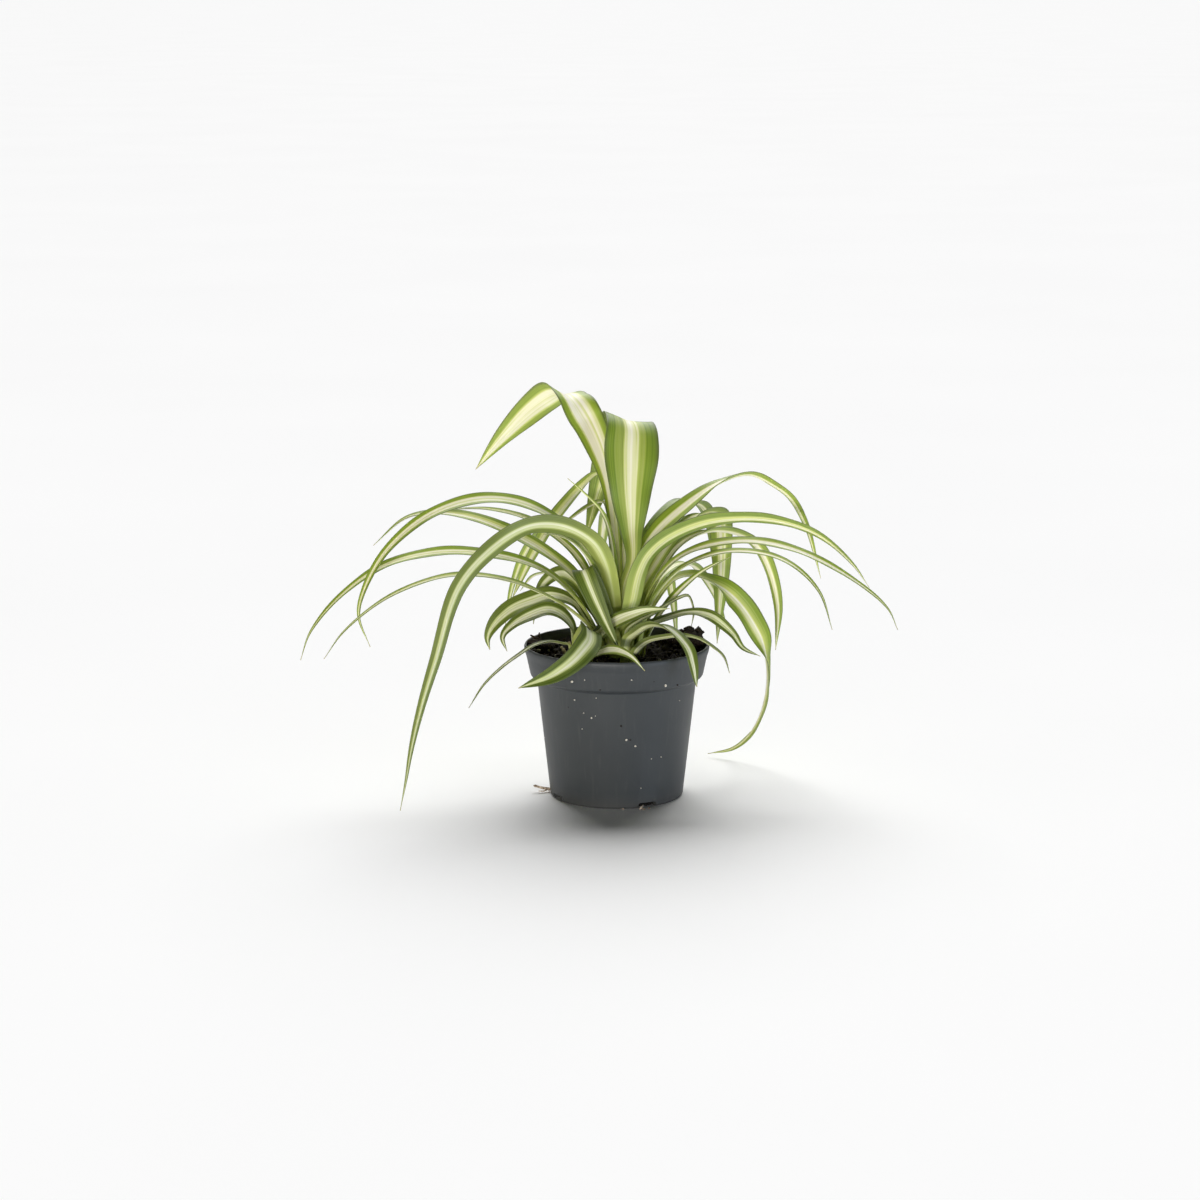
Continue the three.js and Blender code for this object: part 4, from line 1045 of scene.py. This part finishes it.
def make_blades(context, rosette, leaves, bright, dark, first_seed):
    """Build each leaf of a list in place of its solid, in the material for its tone."""
    for i, row in enumerate(leaves):
        leaf = {**LOOKS[rosette], **row}
        # Dark main leaves take the dimmer copy of the colours, partly as painted shade.
        is_dark = rosette != "main" or leaf["tone"] >= DARK_TONE
        material, slot = (dark, "leaf_dark_striped") if is_dark else (bright, "leaf_striped")
        verts, faces, attributes = blade_mesh(rosette, leaf, first_seed + i, context.scene.spider_leaf)
        name = leaf["name"].replace("leaf", "blade")
        add_piece(name, verts, faces, material, [leaf["name"]], attributes)


class MakeMainLeaves(bpy.types.Operator):
    """Build the long arching leaves of the main plant"""
    bl_idname = "spider_plant.main_leaves"
    bl_label = "Main leaves"

    def execute(self, context):
        bright = striped_leaf("striped_leaf", "#98ad39", "#4f6c20", "#f5f1da", "#ccd274")
        make_blades(context, "main", MAIN_LEAVES, bright, dark_leaf("shaded_striped_leaf"), 1)
        return {"FINISHED"}


class MakeSmallLeaves(bpy.types.Operator):
    """Build the short dark leaves of the two small plants"""
    bl_idname = "spider_plant.small_leaves"
    bl_label = "Small leaves"

    def execute(self, context):
        material = dark_leaf("dark_striped_leaf")
        make_blades(context, "left", LEFT_LEAVES, material, material, 41)
        make_blades(context, "right", RIGHT_LEAVES, material, material, 51)
        return {"FINISHED"}


def lay_floor(scene, half):
    """A square floor of matt painted board, sprayed white: no gleam, and hardly any unevenness."""
    mesh = bpy.data.meshes.new("studio_floor")
    corners = [(-half, -half, 0), (half, -half, 0), (half, half, 0), (-half, half, 0)]
    mesh.from_pydata(corners, [], [(0, 1, 2, 3)])
    board, tree, surface = new_material("matt_white_board", Roughness=0.9, IOR=1.4)
    node = partial(add_node, tree)
    place = node("TexCoord").outputs["Object"]
    cloud = node("TexNoise", {"Scale": per_metre(400)}, {"Vector": place})
    shade = node("Mix", {"data_type": "RGBA", MIX_A: linear("#f8f8f8"), MIX_B: linear("#fcfcfc")},
                 {0: cloud})
    tree.links.new(shade.outputs[MIX_COLOUR], surface.inputs["Base Color"])
    mesh.materials.append(board)
    floor = bpy.data.objects.new("studio_floor", mesh)
    scene.collection.objects.link(floor)


def hang(scene, name, data, course, place=(0, 0, 0)):
    """Hang a lamp or camera at a place, facing along a course."""
    thing = bpy.data.objects.new(name, data)
    thing.location = place
    thing.rotation_euler = course.to_track_quat("-Z", "Y").to_euler()
    scene.collection.objects.link(thing)
    return thing


def light_sky(scene):
    """A faint even light from all round."""
    world = scene.world or bpy.data.worlds.new("studio")
    scene.world = world
    world.use_nodes = True
    world.node_tree.nodes.clear()
    node = partial(add_node, world.node_tree)
    sky = node("Background", {"Color": linear("#ffffff"), "Strength": SKY_STRENGTH})
    node("OutputWorld", links={"Surface": sky})


class MakeStage(bpy.types.Operator):
    """Lay the pale floor, hang the soft lights and set the camera"""
    bl_idname = "spider_plant.stage"
    bl_label = "Stage"

    # Name, place in metres, width, share of the key light's power, and colour.
    LIGHTS = (("key_light", (-1.6, -5.6, 0.2), 3.5, 1.04, "#fffaf2"),
              ("fill_light", (4.6, -3.4, 0.2), 2.5, 0.42, "#d8e8ff"))

    def execute(self, context):
        settings, scene = context.scene.spider_stage, context.scene
        lay_floor(scene, settings.floor_size / 2)
        for name, place, size, power, tint in self.LIGHTS:
            light = bpy.data.lights.new(name, "AREA")
            light.shape, light.size, light.size_y = "RECTANGLE", size, LIGHT_DEPTH
            light.energy, light.color = settings.key_power * power, linear(tint)[:3]
            hang(scene, name, light, Vector(LIGHT_AIM) - Vector(place), place)
        overhead = bpy.data.lights.new("overhead", "SUN")
        overhead.energy, overhead.angle = settings.overhead, math.radians(OVERHEAD_SPREAD)
        hang(scene, "overhead", overhead, Vector(OVERHEAD_COURSE))
        light_sky(scene)
        scene.view_settings.view_transform = "Standard"
        camera = bpy.data.cameras.new("camera")
        camera.lens, camera.sensor_width, camera.clip_end = settings.lens, SENSOR_WIDTH, 100
        course = Vector(CAMERA_AIM) - Vector(CAMERA_PLACE)
        scene.camera = hang(scene, "camera", camera, course, CAMERA_PLACE)
        return {"FINISHED"}


class SpiderPlantPanel(bpy.types.Panel):
    """Buttons and settings for each piece of the plant"""
    bl_idname = "VIEW3D_PT_spider_plant"
    bl_label = "Spider Plant"
    bl_space_type = "VIEW_3D"
    bl_region_type = "UI"
    bl_category = "Spider Plant"

    def draw(self, context):
        for operator in OPERATORS:
            self.layout.operator(operator.bl_idname)
        for word, group in SETTINGS.items():
            box = self.layout.box()
            for prop in group.__annotations__:
                box.prop(getattr(context.scene, word), prop)


OPERATORS = (MakeStage, MakePot, MakeSpecks, MakeSoil, MakeCrowns, MakeMainLeaves, MakeSmallLeaves)
SETTINGS = {"spider_pot": PotSettings, "spider_soil": SoilSettings, "spider_leaf": LeafSettings,
            "spider_stage": StageSettings}


def register():
    for group in SETTINGS.values():
        bpy.utils.register_class(group)
    for word, group in SETTINGS.items():
        setattr(bpy.types.Scene, word, PointerProperty(type=group))
    for operator in OPERATORS:
        bpy.utils.register_class(operator)
    bpy.utils.register_class(SpiderPlantPanel)


def unregister():
    bpy.utils.unregister_class(SpiderPlantPanel)
    for operator in reversed(OPERATORS):
        bpy.utils.unregister_class(operator)
    for word in SETTINGS:
        delattr(bpy.types.Scene, word)
    for group in SETTINGS.values():
        bpy.utils.unregister_class(group)


def main():
    register()
    for operator in OPERATORS:
        family, action = operator.bl_idname.split(".")
        getattr(getattr(bpy.ops, family), action)()


if __name__ == "__main__":
    main()
